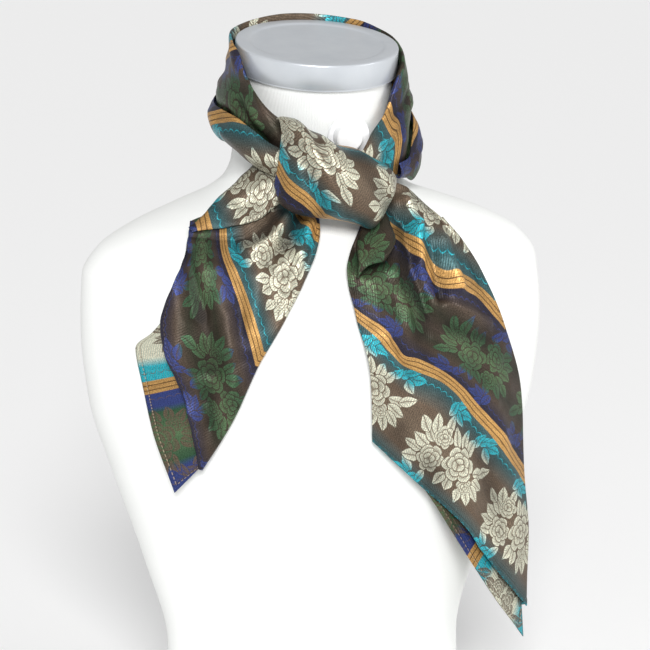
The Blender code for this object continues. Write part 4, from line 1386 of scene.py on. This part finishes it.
def drawing_group():
    """From a place on the flat cloth in centimetres: the face's colour, the reverse's colour, the share
    of coloured weft and the height of the threads.

    The band's number is the whole part of across over BAND, and odd bands are the cream ones. The place
    in a repeat is the fraction of along over REPEAT. The share of weft mixes the ground's colours with
    the weft's, the gold stripe covers both, and streaks and grain change the tone."""
    tree = bpy.data.node_groups.new("woven drawing", "ShaderNodeTree")
    tree.interface.new_socket("Place", in_out="INPUT", socket_type="NodeSocketVector")
    for label, kind in (("Face", "Color"), ("Reverse", "Color"), ("Share", "Float"), ("Threads", "Float")):
        tree.interface.new_socket(label, in_out="OUTPUT", socket_type=f"NodeSocket{kind}")
    place = tree.nodes.new("NodeGroupInput").outputs["Place"]
    across, along = separate(tree, place)

    sway_x, sway_y = separate(tree, noise(tree, place, DRIFT_SIZE, "Color"))
    count = calc(tree, "DIVIDE", across, BAND)
    in_band = calc(tree, "MULTIPLY", calc(tree, "SUBTRACT", calc(tree, "FRACT", count), 0.5), BAND)
    number = calc(tree, "ADD", calc(tree, "FLOOR", count), WHOLE_REPEATS)
    cream_band = calc(tree, "GREATER_THAN", calc(tree, "MODULO", number, 2), 0.5)
    flip = calc(tree, "MULTIPLY_ADD", cream_band, 2.0, -1.0)
    shifted = calc(tree, "MULTIPLY_ADD", cream_band, -BAND_SHIFT, along)
    shifted = calc(tree, "ADD", shifted, WHOLE_REPEATS * REPEAT)
    step = calc(tree, "FRACT", calc(tree, "DIVIDE", shifted, REPEAT))
    in_repeat = calc(tree, "MULTIPLY", calc(tree, "SUBTRACT", step, 0.5), REPEAT)
    local = []
    for sway, distance in ((sway_x, in_band), (sway_y, in_repeat)):
        drift = calc(tree, "SUBTRACT", sway, 0.5)
        local.append(calc(tree, "MULTIPLY_ADD", drift, DRIFT, calc(tree, "MULTIPLY", distance, flip)))
    spot = combine(tree, *local)
    spray = tree.nodes.new("ShaderNodeGroup")
    spray.node_tree = SPRAY
    wire(tree, spot, spray.inputs["Place"])
    share = spray.outputs["Share"]

    off_middle = calc(tree, "ABSOLUTE", in_band)
    band_place = calc(tree, "DIVIDE", off_middle, BAND / 2, clamp=True)
    swing = calc(tree, "SINE", calc(tree, "MULTIPLY", along, math.pi / SCALLOP_STEP))
    swing = calc(tree, "ABSOLUTE", swing)
    line_place = calc(tree, "MULTIPLY_ADD", swing, SCALLOP_DEPTH, SCALLOP_PLACE)
    scallop = thin_line(tree, off_middle, line_place, 24.0, 1.3)
    boldness = calc(tree, "MULTIPLY_ADD", swing, 0.6, 0.25)
    share = calc(tree, "MAXIMUM", share, calc(tree, "MULTIPLY", scallop, boldness))
    shape = calc(tree, "MULTIPLY", share, 1.0, clamp=True)

    narrow = calc(tree, "MULTIPLY", across, STREAKS)
    streak = noise(tree, combine(tree, narrow, calc(tree, "MULTIPLY", along, STREAK_STRETCH)), 1.0)
    slanted = calc(tree, "ADD", along, calc(tree, "MULTIPLY", across, HATCH_SLANT))
    hatch = calc(tree, "FRACT", calc(tree, "MULTIPLY", slanted, HATCHES))
    hatch = calc(tree, "ABSOLUTE", calc(tree, "SUBTRACT", hatch, 0.5))

    brown_ground = colour_steps(tree, band_place, (0.0, SILK["dark brown"]), (0.3, SILK["moss brown"]),
                                (0.55, SILK["dark brown"]), (0.82, SILK["navy"]))
    taupe_ground = colour_steps(tree, band_place, (0.0, SILK["taupe"]), (0.42, SILK["taupe shade"]),
                                (0.74, SILK["dark teal"]), (0.88, SILK["slate teal"]))
    ground = mix(tree, cream_band, brown_ground, taupe_ground, "RGBA")
    ground = mix(tree, calc(tree, "MULTIPLY", hatch, 0.8), ground, SILK["moss brown"], "RGBA")
    green_weft = colour_steps(tree, band_place, (0.0, SILK["green"]), (0.45, SILK["deep green"]),
                              (0.58, SILK["blue"]))
    cream_weft = colour_steps(tree, band_place, (0.0, SILK["cream"]), (0.50, SILK["cream"]),
                              (0.64, SILK["bright teal"]))
    cream_weft = mix(tree, hatch, cream_weft, SILK["pale teal"], "RGBA")
    weft = mix(tree, cream_band, green_weft, cream_weft, "RGBA")

    to_stripe = calc(tree, "SUBTRACT", BAND / 2, off_middle)
    on_stripe = calc(tree, "MULTIPLY_ADD", to_stripe, -LINE_EDGE, STRIPE_LEVEL, clamp=True)
    thin = thin_line(tree, to_stripe, 0.2, LINE_EDGE, 1.7)
    rim = thin_line(tree, to_stripe, 0.58, LINE_EDGE, 1.6)
    gold = mix(tree, streak, SILK["old gold"], SILK["gold"], "RGBA")
    gold = mix(tree, calc(tree, "MULTIPLY", thin, 0.85), gold, SILK["gold line"], "RGBA")

    face = mix(tree, shape, ground, weft, "RGBA")
    reverse = mix(tree, shape, weft, SILK["taupe shade"], "RGBA")
    grain = calc(tree, "MULTIPLY_ADD", noise(tree, place, 12.0), 2.2, -0.53)
    speckle = calc(tree, "MULTIPLY_ADD", streak, 0.8, grain)
    results = {}
    for side, colour in (("Face", face), ("Reverse", reverse)):
        colour = mix(tree, calc(tree, "MULTIPLY", rim, 0.15), colour, SILK["gold line"], "RGBA")
        colour = mix(tree, on_stripe, colour, gold, "RGBA")
        tone = tree.nodes.new("ShaderNodeHueSaturation")
        wire(tree, speckle, tone.inputs["Value"])
        wire(tree, colour, tone.inputs["Color"])
        results[side] = tone.outputs[0]
    results["Share"] = shape
    results["Threads"] = calc(tree, "ADD", hatch, calc(tree, "MULTIPLY", streak, 0.8))
    end = tree.nodes.new("NodeGroupOutput")
    for label, value in results.items():
        wire(tree, value, end.inputs[label])
    return tree


DRAWING = drawing_group()
print("the drawing has", len(DRAWING.nodes), "nodes of its own")


# %% [markdown]
# ## The silk's face and reverse
#
# Deep folds shade each other, and the folds here are shallower than real ones. So shade is painted into
# the colour by the relief kept with each sheet: a trough gets painted shade, a ridge a painted highlight by
# half as much, and the reverse is painted a little darker all over, as it lies in shade under the face.

# %% The silk's two materials
HEM_FOLD, STITCH_ROW = 0.4, 0.33       # centimetres from the hem's edge
STITCH_STEP, STITCH_GAP = 0.3, 0.42    # centimetres from stitch to stitch, and the share with no thread
STITCH_SHOWS = {"Face": 0.07, "Reverse": 0.6}
# the reverse is painted a little darker all over: painted shade, as it lies under the face layer
SIDE_PAINTED_SHADE = {"Face": 1.0, "Reverse": 0.85}
TROUGH_SHADE, RIDGE_LIGHT, DARKEST = 0.16, 0.075, 0.3      # painted shade and highlight: change of tone for a millimetre of relief


def silk_material(name, side):
    """The drawing's colours on a smooth shader, raised by its threads, with the sewn hem. Shade and
    highlight
    are painted into the colour: its tone is 1 + 0.16 relief in a trough and 1 + 0.075 relief on a ridge,
    and not under 0.3, and the reverse's tone is painted darker too."""
    material = bpy.data.materials.new(name)
    material.use_nodes = True
    tree = material.node_tree
    shader = tree.nodes["Principled BSDF"]
    flat = tree.nodes.new("ShaderNodeUVMap")
    flat.uv_map = "cloth"
    drawing = tree.nodes.new("ShaderNodeGroup")
    drawing.node_tree = DRAWING
    wire(tree, flat.outputs[0], drawing.inputs["Place"])
    seam = tree.nodes.new("ShaderNodeUVMap")
    seam.uv_map = "hem"
    to_hem, along_hem = separate(tree, seam.outputs[0])
    fold = thin_line(tree, to_hem, HEM_FOLD, 25.0, 1.4)
    row = thin_line(tree, to_hem, STITCH_ROW, 40.0, 1.9)
    dash = calc(tree, "FRACT", calc(tree, "DIVIDE", along_hem, STITCH_STEP))
    stitch = calc(tree, "MULTIPLY", row, calc(tree, "GREATER_THAN", dash, STITCH_GAP))
    colour = mix(tree, calc(tree, "MULTIPLY", fold, 0.45), drawing.outputs[side], rgb(40, 32, 26), "RGBA")
    shows = calc(tree, "MULTIPLY", stitch, STITCH_SHOWS[side])
    colour = mix(tree, shows, colour, rgb(196, 176, 150), "RGBA")
    # painted shade in troughs and a painted highlight on ridges, from the sheet's relief; depth below is
    # this tone
    relief = tree.nodes.new("ShaderNodeAttribute")
    relief.attribute_name = "relief"
    in_trough = calc(tree, "MULTIPLY_ADD", relief.outputs["Fac"], TROUGH_SHADE, 1.0)
    on_ridge = calc(tree, "MULTIPLY_ADD", relief.outputs["Fac"], RIDGE_LIGHT, 1.0)
    depth = calc(tree, "MINIMUM", in_trough, on_ridge)
    shade = tree.nodes.new("ShaderNodeHueSaturation")
    # the reverse gets painted shade all over
    depth = calc(tree, "MULTIPLY", depth, SIDE_PAINTED_SHADE[side])
    wire(tree, calc(tree, "MAXIMUM", depth, DARKEST), shade.inputs["Value"])
    wire(tree, colour, shade.inputs["Color"])
    wire(tree, shade.outputs[0], shader.inputs["Base Color"])
    rough = calc(tree, "MULTIPLY_ADD", drawing.outputs["Share"], -0.06, 0.42)
    wire(tree, rough, shader.inputs["Roughness"])
    shader.inputs["Metallic"].default_value = 0.35
    shader.inputs["Specular IOR Level"].default_value = 0.2
    bump = tree.nodes.new("ShaderNodeBump")
    bump.inputs["Strength"].default_value = 0.65
    bump.inputs["Distance"].default_value = 0.0003
    height = calc(tree, "ADD", drawing.outputs["Threads"], calc(tree, "MULTIPLY", stitch, 1.5))
    wire(tree, height, bump.inputs["Height"])
    wire(tree, bump.outputs[0], shader.inputs["Normal"])
    return material


silk_face, silk_reverse = silk_material("silk face", "Face"), silk_material("silk reverse", "Reverse")
for node in SHEETS:
    STANDS_FOR[node].data.materials.append(silk_face)
    STANDS_FOR[node].data.materials.append(silk_reverse)
print("silk on", len(SHEETS), "sheets")


# %% [markdown]
# ## The form's materials
#
# The bust wears fine ribbed cotton, the cap is painted a satin silver, and the dial is white plastic. The
# ribs follow the angle round the form, so they narrow at the neck as a stretched knit does.

# %% Knit, silver and plastic
RIBS = 300.0              # round the whole form
RIBS_FADE_IN, RIBS_START = 40.0, -15.6      # none at 0.39 m of height, and full 1/40 m above that


def plain(name, colour, roughness, metallic=0.0):
    """A material with one shader and its colour, roughness and metal set on the shader's sockets."""
    material = bpy.data.materials.new(name)
    material.use_nodes = True
    shader = material.node_tree.nodes["Principled BSDF"]
    shader.inputs["Base Color"].default_value = colour
    shader.inputs["Roughness"].default_value = roughness
    shader.inputs["Metallic"].default_value = metallic
    return material, material.node_tree, shader


def raise_by(tree, shader, height, strength, distance):
    """Raise the surface by a height value without changing the mesh."""
    bump = tree.nodes.new("ShaderNodeBump")
    bump.inputs["Strength"].default_value = strength
    bump.inputs["Distance"].default_value = distance
    wire(tree, height, bump.inputs["Height"])
    wire(tree, bump.outputs[0], shader.inputs["Normal"])


def object_place(tree):
    """The place on the object, in metres."""
    return tree.nodes.new("ShaderNodeTexCoord").outputs["Object"]


knit, tree, shader = plain("knit", rgb(240, 241, 239), 0.9)
place = object_place(tree)
x, y = separate(tree, place)
angle = calc(tree, "ARCTAN2", x, y)
heights = tree.nodes.new("ShaderNodeSeparateXYZ")
wire(tree, place, heights.inputs[0])
at_neck = calc(tree, "MULTIPLY_ADD", heights.outputs[2], RIBS_FADE_IN, RIBS_START, clamp=True)
rib = calc(tree, "COSINE", calc(tree, "MULTIPLY", angle, RIBS))
rib = calc(tree, "MULTIPLY", rib, calc(tree, "MULTIPLY_ADD", at_neck, 0.9, 0.1))
tone = calc(tree, "MULTIPLY_ADD", calc(tree, "ADD", rib, noise(tree, place, 900.0)), 0.02, 0.95)
wire(tree, mix(tree, tone, rgb(196, 198, 196), rgb(246, 247, 245), "RGBA"), shader.inputs["Base Color"])
raise_by(tree, shader, calc(tree, "ADD", rib, noise(tree, place, 1500.0)), 0.35, 0.0003)
form_body.data.materials.append(knit)

silver, tree, shader = plain("cap", rgb(196, 201, 206), 0.34, 0.4)
place = object_place(tree)
wire(tree, mix(tree, noise(tree, place, 60.0), rgb(194, 199, 205), rgb(210, 214, 218), "RGBA"),
     shader.inputs["Base Color"])
wire(tree, calc(tree, "MULTIPLY_ADD", noise(tree, place, 400.0), 0.12, 0.28), shader.inputs["Roughness"])
raise_by(tree, shader, noise(tree, place, 1800.0), 0.15, 0.0001)
form_cap.data.materials.append(silver)

plastic, tree, shader = plain("dial", rgb(240, 240, 240), 0.38)
place = object_place(tree)
wire(tree, mix(tree, noise(tree, place, 150.0), rgb(234, 235, 236), rgb(245, 245, 245), "RGBA"),
     shader.inputs["Base Color"])
raise_by(tree, shader, noise(tree, place, 2200.0), 0.1, 0.0001)
for piece in (dial_base, dial_knob):
    piece.data.materials.append(plastic)
print("form materials:", knit.name, silver.name, plastic.name)

# %% [markdown]
# ## Floor and light
#
# The photograph was cut out on white, so the floor is plain and pale and the surroundings are white. A wide
# far lamp in front and a square one at the side shade the folds gently.

# %% Floor and light
FLOOR_HALF = 20.0         # metres
WHITE = (1, 1, 1, 1)
SURROUNDINGS = 0.46       # how strongly the white surroundings shine

corners = [(x * FLOOR_HALF, y * FLOOR_HALF, 0) for x, y in ((-1, -1), (1, -1), (1, 1), (-1, 1))]
floor_mesh = bpy.data.meshes.new("floor")
floor_mesh.from_pydata(corners, [], [(0, 1, 2, 3)])
floor = bpy.data.objects.new("floor", floor_mesh)
floor_mesh.materials.append(plain("floor", rgb(252, 252, 252), 0.8)[0])
bpy.context.scene.collection.objects.link(floor)

world = bpy.data.worlds.new("studio")
world.use_nodes = True
background = world.node_tree.nodes["Background"]
background.inputs["Color"].default_value = WHITE
background.inputs["Strength"].default_value = SURROUNDINGS
bpy.context.scene.world = world


def soft_lamp(name, kind, location, aim, energy, size):
    """A lamp that looks at a point: a square one of a size in metres, or a far one that is size degrees
    wide in the sky."""
    lamp = bpy.data.lights.new(name, kind)
    lamp.energy = energy
    if kind == "SUN":
        lamp.angle = math.radians(size)
    else:
        lamp.size = size
    piece = bpy.data.objects.new(name, lamp)
    piece.location = location
    piece.rotation_euler = (Vector(aim) - Vector(location)).to_track_quat("-Z", "Y").to_euler()
    bpy.context.scene.collection.objects.link(piece)
    return piece


soft_lamp("sky", "SUN", (-0.9, -2.8, 1.9), (0, 0, 0.3), energy=2.8, size=20)
soft_lamp("side", "AREA", (1.5, -1.0, 0.9), (0, 0, 0.35), energy=6, size=0.8)
bpy.context.scene.view_settings.view_transform = "Standard"
print("floor, world and lamps set")
